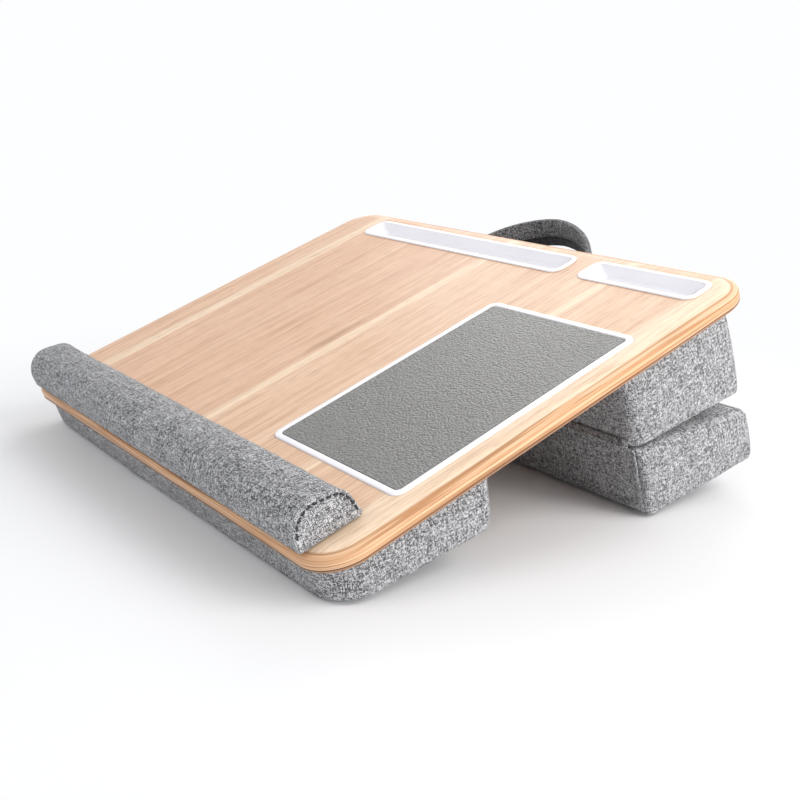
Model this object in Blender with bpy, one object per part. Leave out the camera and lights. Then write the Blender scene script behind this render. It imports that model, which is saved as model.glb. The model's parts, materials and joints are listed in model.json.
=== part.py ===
"""Lap desk with a folding riser, modelled at its real size in metres, +Z up.

The desk frame has its origin at the middle of the board's front edge, on the board's top face, with X to the
user's right, Y to the rear and Z square to the board. An empty holds that frame at the tilt at which the desk
rests on its front cushion and its folding riser. A second empty lies on the riser's fold line.
"""

import math
from dataclasses import dataclass, replace

import bmesh
import bpy
from mathutils import Matrix, Vector

# Board
BOARD_WIDTH = 0.560
BOARD_DEPTH = 0.435
BOARD_THICKNESS = 0.0145
BOARD_CORNER = 0.034
SHOULDER_WIDTH = 0.014
SHOULDER_DROP = 0.0030
LIP_RADIUS = 0.0025
UNDER_CHAMFER = 0.0020

# Clearances and cutting
SEAT_GAP = 0.0003
CUT_OVERRUN = 0.002
FLOOR_FLAT_DEPTH = 0.0005

# Mouse pad, let into the board
PAD_WIDTH = 0.160
PAD_DEPTH = 0.231
PAD_CORNER = 0.004
PAD_CENTRE_RIGHT = 0.1727
PAD_CENTRE_BACK = 0.1987
PAD_THICKNESS = 0.0012
PAD_BACKING_THICKNESS = 0.0010
PAD_RECESS_DEPTH = 0.0020
PAD_FRAME_WIDTH = 0.006
PAD_FRAME_CORNER = 0.009
PAD_FRAME_PROUD = 0.0012
PAD_FRAME_ROUNDING = 0.0012

# Trays, dropped into cut-outs along the rear of the board
TRAY_DEPTH = 0.0337
TRAY_CENTRE_BACK = 0.4007
LONG_TRAY_WIDTH = 0.316
LONG_TRAY_CENTRE_RIGHT = -0.058
SHORT_TRAY_WIDTH = 0.134
SHORT_TRAY_CENTRE_RIGHT = 0.189
TRAY_CORNER = 0.011
TRAY_RIM_WIDTH = 0.0045
TRAY_RIM_THICKNESS = 0.0012
TRAY_WALL = 0.0012
TRAY_WELL_DEPTH = 0.0095
TRAY_END_SLOPE = 0.013
TRAY_SIDE_SLOPE = 0.0045

# Fabric and foam
FABRIC = 0.0012
FOAM_CLEARANCE = 0.0008
HEM_WIDTH = 0.012
LEAST_CORNER = 0.002

# Wrist rest on the front edge of the board
WRIST_LENGTH = 0.509
WRIST_FRONT = -0.001
WRIST_DEPTH = 0.0550
WRIST_FRONT_LEAN = 0.0012
WRIST_REAR_LEAN = 0.0075
WRIST_FRONT_HEIGHT = 0.0346
WRIST_REAR_HEIGHT = 0.0275
WRIST_FRONT_ROUNDING = 0.019
WRIST_REAR_ROUNDING = 0.015
WRIST_FOOT_ROUNDING = 0.0015
WRIST_CROWN = 0.0022
WRIST_END_ROUNDING = 0.0035
WRIST_END_DOME = 0.0015
WRIST_BASE_THICKNESS = 0.0006
WRIST_BASE_MARGIN = 0.004

# Cushions under the board
CUSHION_WIDTH = 0.540
CUSHION_SWELL = 0.0020
FRONT_PAD_FRONT = 0.0035
FRONT_PAD_TOP_DEPTH = 0.1465
FRONT_PAD_BOTTOM_DEPTH = 0.136
FRONT_PAD_HEIGHT = 0.0325
FRONT_PAD_SLOPE = math.radians(6.2)
FRONT_PAD_FRONT_CORNER = 0.032
FRONT_PAD_REAR_CORNER = 0.006
FRONT_PAD_FRONT_EDGE = 0.012
FRONT_PAD_REAR_EDGE = 0.010
FRONT_PAD_CROWN = 0.0015
SIDE_EDGE = 0.0040
TOP_EDGE = 0.0030

# Rear wedge, fixed under the board, and the line that the riser folds about
FOLD_BACK = 0.286
FOLD_HEIGHT = 0.0665
FOLD_CLEARANCE = 0.0008
FOLD_SEAM_RADIUS = 0.00175
FOLD_SEAM_MARGIN = 0.010
UPPER_DEPTH = 0.1245
UPPER_SLOPE = math.radians(6.6)
UPPER_FRONT_CORNER = 0.012
UPPER_REAR_CORNER = 0.007
UPPER_FRONT_EDGE = 0.0035
UPPER_REAR_EDGE = 0.012
UPPER_CROWN = 0.0008

# Folding wedge, in the frame of the fold line when it is folded flat against the rear wedge
REST_OPENING = math.radians(7.1)
LOWER_HEIGHT = 0.0648
LOWER_SLOPE = math.radians(5.8)
LOWER_TOP_DEPTH = 0.1335
LOWER_BOTTOM_DEPTH = 0.138
LOWER_FRONT_LEAN = 0.0043
LOWER_FRONT_CORNER = 0.006
LOWER_REAR_CORNER = 0.007
LOWER_TOP_FRONT_EDGE = 0.003
LOWER_TOP_SIDE_EDGE = 0.007
LOWER_TOP_REAR_EDGE = 0.008
LOWER_FRONT_EDGE = 0.005
LOWER_REAR_EDGE = 0.014
LOWER_FRONT_CROWN = 0.0020
LOWER_REAR_CROWN = 0.0006

# Hemmed panel over the folding wedge's front face
PANEL_THICKNESS = 0.0011
PANEL_HEM_THICKNESS = 0.0016
PANEL_HEM_WIDTH = 0.006
PANEL_SIDE_MARGIN = 0.0055
PANEL_TOP_MARGIN = 0.0005
PANEL_BOTTOM_MARGIN = 0.0065

# Hook and loop tapes that hold the riser under the board when it is folded forward
TAPE_WIDTH = 0.025
TAPE_LENGTH = 0.070
TAPE_THICKNESS = 0.0010
TAPE_CORNER = 0.003
TAPE_END_MARGIN = 0.035
TAPE_BACK = 0.085
TAPE_SINK = 0.0008

# Carry handle, sewn to the rear face of the rear wedge
HANDLE_HALF_SPAN = 0.088
HANDLE_REACH = 0.0717
HANDLE_HEIGHT = 0.027
HANDLE_THICKNESS = 0.0020
HANDLE_TOP_BELOW_BOARD = 0.0022
HANDLE_RISE = 0.012
HANDLE_LEVEL_REACH = 0.027
HANDLE_FULLNESS_SHARE = 0.875
HANDLE_BEND = 0.005
HANDLE_TAB_LENGTH = 0.024
SLEEVE_HEIGHT = 0.018
SLEEVE_THICKNESS = 0.0014

# Counts, and the angle past which an edge is drawn sharp
CORNER_STEPS = 5
EDGE_STEPS = 3
SIDE_POINTS = 5
PROFILE_STEPS = 4
HANDLE_STEPS = 20
SLEEVE_SHORT_STEPS = 1
BEND_STEPS = 3
SEAM_SIDES = 12
TILT_STEPS = 60
SHARP_ANGLE = math.radians(35)

# Rings of a wedge, as shares of the way over its bottom face and down its sides
FACE_RING_SHARES = (0.30, 0.72)
SIDE_RING_SHARES = (0.22, 0.50)

# Stations of the wrist rest, as shares of its half length
WRIST_STATION_SHARES = (-0.5, 0.0, 0.5)


@dataclass(frozen=True)
class Edges:
    """Radii that a wedge's top or bottom edges are rounded to."""

    front: float
    side: float
    rear: float

    def at(self, normal):
        """The radius where the outline faces along a normal."""
        across, back = normal
        end = self.rear if back > 0 else self.front
        return self.side * across**2 + end * back**2


@dataclass(frozen=True)
class Block:
    """A soft wedge. y is measured back from its front face and z up from the surface that carries it."""

    width: float
    front_top: float
    front_bottom: float
    rear_top: float
    rear_bottom: float
    top_height: float
    top_slope: float
    bottom_height: float
    bottom_slope: float
    front_corner: float
    rear_corner: float
    top_edges: Edges
    bottom_edges: Edges
    swell: float
    front_crown: float
    rear_crown: float
    face_crown: float

    def top(self, back):
        """Height of the top face at a distance back."""
        return self.top_height - back * math.tan(self.top_slope)

    def bottom(self, back):
        """Height of the bottom face at a distance back, without its crown."""
        return self.bottom_height - back * math.tan(self.bottom_slope)

    def shrunk(self, by):
        """The same wedge, smaller by a wall on every face, as the foam inside a cover is."""
        return replace(
            self,
            width=self.width - 2 * by,
            front_top=self.front_top + by,
            front_bottom=self.front_bottom + by,
            rear_top=self.rear_top - by,
            rear_bottom=self.rear_bottom - by,
            top_height=self.top_height - by,
            bottom_height=self.bottom_height + by,
        )


NO_EDGES = Edges(0.0, 0.0, 0.0)


def between(start, end, share):
    """The value a share of the way from start to end."""
    return start + (end - start) * share


def clear_scene():
    """Removes what the scene starts with."""
    for found in list(bpy.data.objects):
        bpy.data.objects.remove(found, do_unlink=True)


def finish(name, colour, roughness, metallic=0.0):
    """A Principled material of one colour."""
    made = bpy.data.materials.new(name)
    made.use_nodes = True
    shader = made.node_tree.nodes["Principled BSDF"]
    shader.inputs["Base Color"].default_value = (*colour, 1.0)
    shader.inputs["Roughness"].default_value = roughness
    shader.inputs["Metallic"].default_value = metallic
    made.diffuse_color = (*colour, 1.0)
    return made


def empty(name, parent, location, rotation=0.0):
    """An empty turned about X, to which pieces are parented."""
    made = bpy.data.objects.new(name, None)
    bpy.context.collection.objects.link(made)
    made.parent = parent
    made.location = location
    made.rotation_euler = (rotation, 0.0, 0.0)
    return made


def solid(name, shape, material, parent, location=(0.0, 0.0, 0.0), rotation=0.0):
    """An object from a finished bmesh, shaded smooth but for its sharp edges."""
    mesh = bpy.data.meshes.new(name)
    shape.to_mesh(mesh)
    shape.free()
    mesh.shade_smooth()
    mesh.set_sharp_from_angle(angle=SHARP_ANGLE)
    made = bpy.data.objects.new(name, mesh)
    bpy.context.collection.objects.link(made)
    made.data.materials.append(material)
    made.parent = parent
    made.location = location
    made.rotation_euler = (rotation, 0.0, 0.0)
    return made


def cutter(name, shape, parent, location=(0.0, 0.0, 0.0)):
    """A helper that only cuts."""
    mesh = bpy.data.meshes.new(name)
    shape.to_mesh(mesh)
    shape.free()
    made = bpy.data.objects.new(name, mesh)
    bpy.context.collection.objects.link(made)
    made.parent = parent
    made.location = location
    made.hide_render = True
    made.display_type = "WIRE"
    return made


def cut(target, tool):
    """Takes the tool's shape out of the target."""
    modifier = target.modifiers.new(tool.name, "BOOLEAN")
    modifier.operation = "DIFFERENCE"
    modifier.solver = "EXACT"
    modifier.object = tool


def thicken(target, wall):
    """Gives an open skin its wall, inwards."""
    modifier = target.modifiers.new("wall", "SOLIDIFY")
    modifier.thickness = wall
    modifier.offset = -1.0
    modifier.use_even_offset = True
    modifier.use_rim = True


def skin(loops, cap_first=False, cap_last=False):
    """A bmesh over loops of points that run anticlockwise seen from the first loop's side."""
    shape = bmesh.new()
    rows = [[shape.verts.new(point) for point in loop] for loop in loops]
    for upper, lower in zip(rows, rows[1:]):
        for at in range(len(upper)):
            after = (at + 1) % len(upper)
            shape.faces.new((upper[at], lower[at], lower[after], upper[after]))
    if cap_first:
        shape.faces.new(rows[0])
    if cap_last:
        shape.faces.new(list(reversed(rows[-1])))
    return shape


def block_skin(rings, closed_top):
    """A bmesh over a block's rings, closed at the bottom, and at the top where it is asked for."""
    shape = skin(rings)
    shape.verts.ensure_lookup_table()
    points = len(rings[0])
    if closed_top:
        ladder(shape, shape.verts[:points], False)
    ladder(shape, shape.verts[-points:], True)
    return shape


def ladder(shape, row, downward):
    """Closes a block's ring with strips from its front run to its rear run, which keep the face's crown."""
    run = len(row) // 2
    front = row[:run]
    rear = list(reversed(row[run:]))
    for at in range(run - 1):
        face = (front[at], front[at + 1], rear[at + 1], rear[at])
        shape.faces.new(tuple(reversed(face)) if downward else face)


def rounded_rectangle(left, right, front, rear, front_corner, rear_corner, across=0):
    """Points (x, y, normal) of a rounded rectangle, anticlockwise seen from above.

    across is how many points there are along its front, and along its rear, between the corners.
    """
    corners = (
        (left + front_corner, front + front_corner, front_corner, math.pi, across),
        (right - front_corner, front + front_corner, front_corner, 1.5 * math.pi, 0),
        (right - rear_corner, rear - rear_corner, rear_corner, 0.0, across),
        (left + rear_corner, rear - rear_corner, rear_corner, 0.5 * math.pi, 0),
    )
    points = []
    straight = []
    for x, y, radius, start, extra in corners:
        for step in range(CORNER_STEPS + 1):
            angle = start + 0.5 * math.pi * step / CORNER_STEPS
            normal = (math.cos(angle), math.sin(angle))
            points.append((x + radius * normal[0], y + radius * normal[1], normal))
        straight.append((len(points), extra))
    full = []
    for at, point in enumerate(points):
        full.append(point)
        for end, extra in straight:
            if at + 1 != end:
                continue
            after = points[end % len(points)]
            for step in range(1, extra + 1):
                share = step / (extra + 1)
                x = between(point[0], after[0], share)
                y = between(point[1], after[1], share)
                full.append((x, y, point[2]))
    return full


def centred_loop(width, depth, corner, height, inset=0.0):
    """A rounded rectangle about the origin at a height, drawn in by an inset."""
    half_width = width / 2 - inset
    half_depth = depth / 2 - inset
    radius = max(corner - inset, LEAST_CORNER)
    flat = rounded_rectangle(-half_width, half_width, -half_depth, half_depth, radius, radius)
    return [(x, y, height) for x, y, _ in flat]


def block_ring(block, share, edges=NO_EDGES, turn=0.0, inset=0.0, face=0.0):
    """A level ring of a block, a share of the way from its top face to its bottom face.

    edges are the radii of the edge that the ring is on, and turn how far round it the ring has come from
    the sides. inset draws the ring in further, and face is its share of the way to the bottom's middle.
    """
    inward = 1.0 - math.cos(turn)
    middle = (block.rear_bottom - block.front_bottom) / 2
    front_in = between(edges.front * inward, middle, face) + inset
    rear_in = between(edges.rear * inward, middle, face) + inset
    side_in = between(edges.side * inward, middle, face) + inset
    half = block.width / 2 + block.swell * math.sin(math.pi * share) - side_in
    front = between(block.front_top, block.front_bottom, share) + front_in
    rear = between(block.rear_top, block.rear_bottom, share) - rear_in
    front_corner = max(block.front_corner - front_in, LEAST_CORNER)
    rear_corner = max(block.rear_corner - rear_in, LEAST_CORNER)
    ring = []
    for x, y, normal in rounded_rectangle(-half, half, front, rear, front_corner, rear_corner, SIDE_POINTS):
        back = (y - front) / (rear - front)
        lift = edges.at(normal) * (1.0 - math.sin(turn)) * (2.0 * share - 1.0)
        arch = 1.0 - (2.0 * x / block.width) ** 2
        crown = between(block.front_crown, block.rear_crown, back) * arch * share
        height = between(block.top(y), block.bottom(y), share)
        ring.append((x, y, height + lift - crown - block.face_crown * face))
    return ring


def top_rings(block, hem):
    """Rings from the hem's inner edge over the rounded top edge of a block."""
    quarter = math.pi / 2
    rings = []
    if hem:
        rings.append(block_ring(block, 0.0, block.top_edges, quarter, hem))
    for step in range(EDGE_STEPS):
        rings.append(block_ring(block, 0.0, block.top_edges, quarter * (1.0 - step / EDGE_STEPS)))
    return rings


def bottom_rings(block):
    """Rings down the sides of a block, round its bottom edge and in over its bottom face."""
    quarter = math.pi / 2
    rings = [block_ring(block, share) for share in SIDE_RING_SHARES]
    for step in range(EDGE_STEPS + 1):
        rings.append(block_ring(block, 1.0, block.bottom_edges, quarter * step / EDGE_STEPS))
    for share in FACE_RING_SHARES:
        rings.append(block_ring(block, 1.0, block.bottom_edges, quarter, face=share))
    return rings


def cushion(name, block, grey, foam, parent, location):
    """A sewn cover, open where it is hemmed to what carries it, and the foam wedge inside it."""
    rings = top_rings(block, HEM_WIDTH) + bottom_rings(block)
    cover = solid(name + "_cover", block_skin(rings, False), grey, parent, location)
    thicken(cover, FABRIC)
    core = block.shrunk(FABRIC + FOAM_CLEARANCE)
    rings = top_rings(core, 0.0) + bottom_rings(core)
    solid(name + "_foam", block_skin(rings, True), foam, parent, location)
    return cover


def board_loop(inset, height):
    """The board's outline, drawn in by an inset, at a height in the desk frame."""
    radius = max(BOARD_CORNER - inset, LEAST_CORNER)
    half = BOARD_WIDTH / 2 - inset
    flat = rounded_rectangle(-half, half, inset, BOARD_DEPTH - inset, radius, radius)
    return [(x, y, height) for x, y, _ in flat]


def board(wood, desk):
    """The top, with its softened shoulder, rounded lip and under chamfer, before it is cut."""
    profile = []
    for step in range(EDGE_STEPS + 2):
        share = step / (EDGE_STEPS + 1)
        inset = between(SHOULDER_WIDTH, LIP_RADIUS, share)
        profile.append((inset, -SHOULDER_DROP * share**2))
    for step in range(1, EDGE_STEPS + 1):
        angle = 0.5 * math.pi * step / EDGE_STEPS
        inset = LIP_RADIUS * (1.0 - math.sin(angle))
        profile.append((inset, -SHOULDER_DROP - LIP_RADIUS * (1.0 - math.cos(angle))))
    profile.append((0.0, UNDER_CHAMFER - BOARD_THICKNESS))
    profile.append((UNDER_CHAMFER, -BOARD_THICKNESS))
    loops = [board_loop(inset, height) for inset, height in profile]
    return solid("board", skin(loops, cap_first=True, cap_last=True), wood, desk)


def cut_recess(top, desk):
    """Lets the mouse pad's frame into the board."""
    width = PAD_WIDTH + 2 * PAD_FRAME_WIDTH + 2 * SEAT_GAP
    depth = PAD_DEPTH + 2 * PAD_FRAME_WIDTH + 2 * SEAT_GAP
    corner = PAD_FRAME_CORNER + SEAT_GAP
    loops = [centred_loop(width, depth, corner, height) for height in (CUT_OVERRUN, -PAD_RECESS_DEPTH)]
    place = (PAD_CENTRE_RIGHT, PAD_CENTRE_BACK, 0.0)
    cut(top, cutter("recess_cutter", skin(loops, cap_first=True, cap_last=True), desk, place))


def cut_tray_hole(top, name, width, centre, desk):
    """Cuts the board right through for a tray's well."""
    clear = TRAY_RIM_WIDTH - TRAY_WALL - SEAT_GAP
    heights = (CUT_OVERRUN, -BOARD_THICKNESS - CUT_OVERRUN)
    loops = [centred_loop(width, TRAY_DEPTH, TRAY_CORNER, height, clear) for height in heights]
    place = (centre, TRAY_CENTRE_BACK, 0.0)
    cut(top, cutter(name + "_cutter", skin(loops, cap_first=True, cap_last=True), desk, place))


def mouse_pad(white, grey, plate, desk):
    """The frame ring in its recess, the plate that it surrounds and the sheet on the plate."""
    width = PAD_WIDTH + 2 * PAD_FRAME_WIDTH
    depth = PAD_DEPTH + 2 * PAD_FRAME_WIDTH
    seat = SEAT_GAP - PAD_RECESS_DEPTH
    crest = PAD_FRAME_PROUD - PAD_FRAME_ROUNDING
    loops = [centred_loop(PAD_WIDTH, PAD_DEPTH, PAD_CORNER, seat)]
    for step in range(2 * EDGE_STEPS + 1):
        angle = math.pi * step / (2 * EDGE_STEPS)
        share = (1.0 - math.cos(angle)) / 2
        height = crest + PAD_FRAME_ROUNDING * math.sin(angle)
        inner = centred_loop(PAD_WIDTH, PAD_DEPTH, PAD_CORNER, height)
        outer = centred_loop(width, depth, PAD_FRAME_CORNER, height)
        loops.append([Vector(a).lerp(Vector(b), share) for a, b in zip(inner, outer)])
    loops.append(centred_loop(width, depth, PAD_FRAME_CORNER, seat))
    shape = skin(loops + [loops[0]])
    bmesh.ops.remove_doubles(shape, verts=shape.verts, dist=SEAT_GAP / 10)
    bmesh.ops.recalc_face_normals(shape, faces=shape.faces)
    place = (PAD_CENTRE_RIGHT, PAD_CENTRE_BACK, 0.0)
    solid("mouse_pad_frame", shape, white, desk, place)

    bottom = seat
    for name, thickness, material in (
        ("mouse_pad_backing", PAD_BACKING_THICKNESS, plate),
        ("mouse_pad", PAD_THICKNESS, grey),
    ):
        heights = (bottom + thickness, bottom)
        loops = [centred_loop(PAD_WIDTH, PAD_DEPTH, PAD_CORNER, height, SEAT_GAP) for height in heights]
        solid(name, skin(loops, cap_first=True, cap_last=True), material, desk, place)
        bottom += thickness + SEAT_GAP


def tray(name, width, centre, white, desk):
    """A moulded tray: a rim that lies on the board and a well with sloping ends."""

    def loop(inset, height, end_extra=0.0):
        return centred_loop(width - 2 * end_extra, TRAY_DEPTH, TRAY_CORNER, height, inset)

    top = SEAT_GAP + TRAY_RIM_THICKNESS
    floor = TRAY_WALL - TRAY_WELL_DEPTH
    inner = TRAY_RIM_WIDTH
    outer = TRAY_RIM_WIDTH - TRAY_WALL
    slope = TRAY_END_SLOPE - TRAY_SIDE_SLOPE
    loops = [
        loop(inner + TRAY_SIDE_SLOPE, floor, slope),
        loop(inner + TRAY_SIDE_SLOPE / 2, floor / 2, slope / 2),
        loop(inner, top - TRAY_RIM_THICKNESS / 2),
        loop(inner - TRAY_RIM_THICKNESS / 2, top),
        loop(TRAY_RIM_THICKNESS / 2, top),
        loop(0.0, top - TRAY_RIM_THICKNESS / 2),
        loop(0.0, SEAT_GAP),
        loop(outer, SEAT_GAP),
        loop(outer, -TRAY_WALL),
        loop(inner + TRAY_SIDE_SLOPE - TRAY_WALL / 2, -TRAY_WELL_DEPTH, slope),
    ]
    shape = skin(loops, cap_first=True, cap_last=True)
    bmesh.ops.recalc_face_normals(shape, faces=shape.faces)
    solid(name, shape, white, desk, (centre, TRAY_CENTRE_BACK, 0.0))


def wrist_corners(inset):
    """Corners and roundings of the wrist rest's section, from its rear foot over the top to its front."""
    base = 2 * SEAT_GAP + WRIST_BASE_THICKNESS + inset
    front = inset
    rear = WRIST_DEPTH - inset
    foot = max(WRIST_FOOT_ROUNDING - inset, LEAST_CORNER / 2)
    return (
        (rear, base, foot),
        (rear - WRIST_REAR_LEAN, WRIST_REAR_HEIGHT - inset, WRIST_REAR_ROUNDING - inset),
        (front - WRIST_FRONT_LEAN, WRIST_FRONT_HEIGHT - inset, WRIST_FRONT_ROUNDING - inset),
        (front, base, foot),
    )


def rounded_path(corners):
    """Points along a closed run of corners in (y, z), each rounded to its radius."""
    path = []
    for at, (y, z, radius) in enumerate(corners):
        here = Vector((y, z))
        before = Vector(corners[at - 1][:2]) - here
        after = Vector(corners[(at + 1) % len(corners)][:2]) - here
        before.normalize()
        after.normalize()
        half = before.angle(after) / 2
        centre = here + (before + after).normalized() * radius / math.sin(half)
        start = here + before * radius / math.tan(half) - centre
        turn = math.pi - 2 * half
        sense = math.copysign(1.0, before.cross(after)) * -1.0
        for step in range(PROFILE_STEPS + 1):
            angle = sense * turn * step / PROFILE_STEPS
            spin = Matrix.Rotation(angle, 2)
            path.append(centre + spin @ start)
    return path


def wrist_section(inset):
    """The closed D-shaped section of the wrist rest, with its crown, from the rear foot to the front foot."""
    path = rounded_path(wrist_corners(inset))
    middle = WRIST_DEPTH / 2
    lifted = []
    for y, z in path:
        share = max(0.0, 1.0 - ((y - middle) / middle) ** 2)
        lifted.append((y, z + WRIST_CROWN * share * (z / WRIST_FRONT_HEIGHT)))
    return lifted


def station(section, right, inset=0.0):
    """A section placed at a distance to the right and drawn in towards its own middle."""
    middle_y = WRIST_DEPTH / 2
    middle_z = WRIST_REAR_HEIGHT / 2
    points = []
    for y, z in section:
        scale_y = 1.0 - inset / (WRIST_DEPTH / 2)
        scale_z = 1.0 - inset / (WRIST_FRONT_HEIGHT / 2)
        points.append((right, middle_y + (y - middle_y) * scale_y, middle_z + (z - middle_z) * scale_z))
    return points


def end_stations(half, rounding, steps):
    """Places and insets of the stations that round one end, from its edge inwards."""
    stations = []
    for step in range(steps + 1):
        angle = 0.5 * math.pi * step / steps
        stations.append((half - rounding * (1.0 - math.sin(angle)), rounding * (1.0 - math.cos(angle))))
    return stations


def wrist_rest(grey, foam, tape, desk):
    """The sleeve, open underneath and at its ends, with its foam, its end panels and its adhesive base."""
    place = (0.0, WRIST_FRONT, 0.0)
    half = WRIST_LENGTH / 2
    section = wrist_section(0.0)
    base = section[0][1]
    hem = HEM_WIDTH
    open_section = [(WRIST_DEPTH - hem, base)] + section + [(hem, base)]
    rounding = list(end_stations(half, WRIST_END_ROUNDING, 2))
    places = [(-right, inset) for right, inset in reversed(rounding)]
    places += [(half * share, 0.0) for share in WRIST_STATION_SHARES]
    places += rounding
    shape = bmesh.new()
    rows = [[shape.verts.new(point) for point in station(open_section, *spot)] for spot in places]
    for near, far in zip(rows, rows[1:]):
        for at in range(len(near) - 1):
            shape.faces.new((near[at], near[at + 1], far[at + 1], far[at]))
    cover = solid("wrist_rest_cover", shape, grey, desk, place)
    thicken(cover, FABRIC)

    inside = FABRIC + FOAM_CLEARANCE
    core_section = wrist_section(inside)
    core_half = half - FABRIC - FOAM_CLEARANCE - SEAT_GAP
    core_rounding = list(end_stations(core_half, WRIST_END_ROUNDING, 1))
    places = core_rounding[::-1] + [(-right, inset) for right, inset in core_rounding]
    loops = [station(core_section, *spot) for spot in places]
    shape = skin(loops, cap_first=True, cap_last=True)
    bmesh.ops.recalc_face_normals(shape, faces=shape.faces)
    solid("wrist_rest_foam", shape, foam, desk, place)

    for name, side in (("wrist_rest_end_left", -1.0), ("wrist_rest_end_right", 1.0)):
        rim = WRIST_END_ROUNDING + FABRIC / 2 + SEAT_GAP
        loops = [
            station(section, side * (half + WRIST_END_DOME / 2), WRIST_DEPTH / 4),
            station(section, side * half, rim),
            station(section, side * (half - FABRIC), rim),
        ]
        shape = skin(loops, cap_first=True, cap_last=True)
        bmesh.ops.recalc_face_normals(shape, faces=shape.faces)
        solid(name, shape, grey, desk, place)

    width = WRIST_LENGTH - 2 * WRIST_BASE_MARGIN
    depth = WRIST_DEPTH - 2 * WRIST_BASE_MARGIN
    heights = (SEAT_GAP + WRIST_BASE_THICKNESS, SEAT_GAP)
    loops = [centred_loop(width, depth, WRIST_BASE_MARGIN, height) for height in heights]
    middle = (0.0, WRIST_FRONT + WRIST_DEPTH / 2, 0.0)
    solid("wrist_rest_base", skin(loops, cap_first=True, cap_last=True), tape, desk, middle)


def front_pad_block():
    """The thin wedge under the board's front edge."""
    return Block(
        width=CUSHION_WIDTH,
        front_top=0.0,
        front_bottom=0.0,
        rear_top=FRONT_PAD_TOP_DEPTH,
        rear_bottom=FRONT_PAD_BOTTOM_DEPTH,
        top_height=-SEAT_GAP,
        top_slope=0.0,
        bottom_height=-FRONT_PAD_HEIGHT,
        bottom_slope=FRONT_PAD_SLOPE,
        front_corner=FRONT_PAD_FRONT_CORNER,
        rear_corner=FRONT_PAD_REAR_CORNER,
        top_edges=Edges(TOP_EDGE, TOP_EDGE, TOP_EDGE),
        bottom_edges=Edges(FRONT_PAD_FRONT_EDGE, SIDE_EDGE, FRONT_PAD_REAR_EDGE),
        swell=CUSHION_SWELL,
        front_crown=FRONT_PAD_CROWN,
        rear_crown=FRONT_PAD_CROWN,
        face_crown=0.0,
    )


def upper_block():
    """The thick wedge under the board's rear, its bottom face sloping down from the fold line."""
    return Block(
        width=CUSHION_WIDTH,
        front_top=FOLD_CLEARANCE,
        front_bottom=FOLD_CLEARANCE,
        rear_top=FOLD_CLEARANCE + UPPER_DEPTH,
        rear_bottom=FOLD_CLEARANCE + UPPER_DEPTH,
        top_height=-SEAT_GAP,
        top_slope=0.0,
        bottom_height=-FOLD_HEIGHT,
        bottom_slope=UPPER_SLOPE,
        front_corner=UPPER_FRONT_CORNER,
        rear_corner=UPPER_REAR_CORNER,
        top_edges=Edges(TOP_EDGE, TOP_EDGE, TOP_EDGE),
        bottom_edges=Edges(UPPER_FRONT_EDGE, SIDE_EDGE, UPPER_REAR_EDGE),
        swell=CUSHION_SWELL,
        front_crown=0.0,
        rear_crown=0.0,
        face_crown=UPPER_CROWN,
    )


def lower_block():
    """The folding wedge, set back behind its front panel, its top face against the upper wedge's slope."""
    behind_panel = FOLD_CLEARANCE + PANEL_HEM_THICKNESS + SEAT_GAP
    return Block(
        width=CUSHION_WIDTH,
        front_top=behind_panel,
        front_bottom=behind_panel + LOWER_FRONT_LEAN,
        rear_top=LOWER_TOP_DEPTH,
        rear_bottom=LOWER_BOTTOM_DEPTH,
        top_height=-FOLD_CLEARANCE,
        top_slope=LOWER_SLOPE,
        bottom_height=-LOWER_HEIGHT,
        bottom_slope=0.0,
        front_corner=LOWER_FRONT_CORNER,
        rear_corner=LOWER_REAR_CORNER,
        top_edges=Edges(LOWER_TOP_FRONT_EDGE, LOWER_TOP_SIDE_EDGE, LOWER_TOP_REAR_EDGE),
        bottom_edges=Edges(LOWER_FRONT_EDGE, SIDE_EDGE, LOWER_REAR_EDGE),
        swell=CUSHION_SWELL,
        front_crown=LOWER_FRONT_CROWN,
        rear_crown=LOWER_REAR_CROWN,
        face_crown=0.0,
    )


def lower_top_panel(block, grey, fold):
    """The panel sewn into the folding cover's top, which closes it over the foam."""
    inset = HEM_WIDTH + SEAT_GAP
    upper = block_ring(block, 0.0, block.top_edges, math.pi / 2, inset)
    loops = [[(x, y, z - sink) for x, y, z in upper] for sink in (0.0, FABRIC)]
    solid("riser_lower_top_panel", skin(loops, cap_first=True, cap_last=True), grey, fold)


def front_panel(block, grey, fold):
    """The hemmed panel over the folding wedge's front face, thicker along its turned edge."""
    drop = block.bottom(0.0) - block.top(0.0)
    lean = math.atan2(LOWER_FRONT_LEAN, -drop)
    width = block.width - 2 * PANEL_SIDE_MARGIN
    height = math.hypot(LOWER_FRONT_LEAN, drop) - PANEL_TOP_MARGIN - PANEL_BOTTOM_MARGIN
    corner = PANEL_HEM_WIDTH / 2
    levels = (
        (PANEL_HEM_WIDTH * 1.5, PANEL_THICKNESS),
        (PANEL_HEM_WIDTH, PANEL_THICKNESS),
        (PANEL_HEM_WIDTH - PANEL_HEM_THICKNESS, PANEL_HEM_THICKNESS),
        (PANEL_HEM_THICKNESS / 2, PANEL_HEM_THICKNESS),
        (0.0, PANEL_HEM_THICKNESS / 2),
        (0.0, 0.0),
    )
    loops = [centred_loop(width, height, corner, level, inset) for inset, level in levels]
    shape = skin(loops, cap_first=True, cap_last=True)
    bmesh.ops.rotate(shape, matrix=Matrix.Rotation(math.pi / 2, 3, "X"), verts=shape.verts)
    middle = PANEL_TOP_MARGIN + height / 2
    back = block.front_top - SEAT_GAP + middle * math.sin(lean)
    place = (0.0, back, block.top(0.0) - middle * math.cos(lean))
    solid("riser_front_panel", shape, grey, fold, place, lean)


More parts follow.
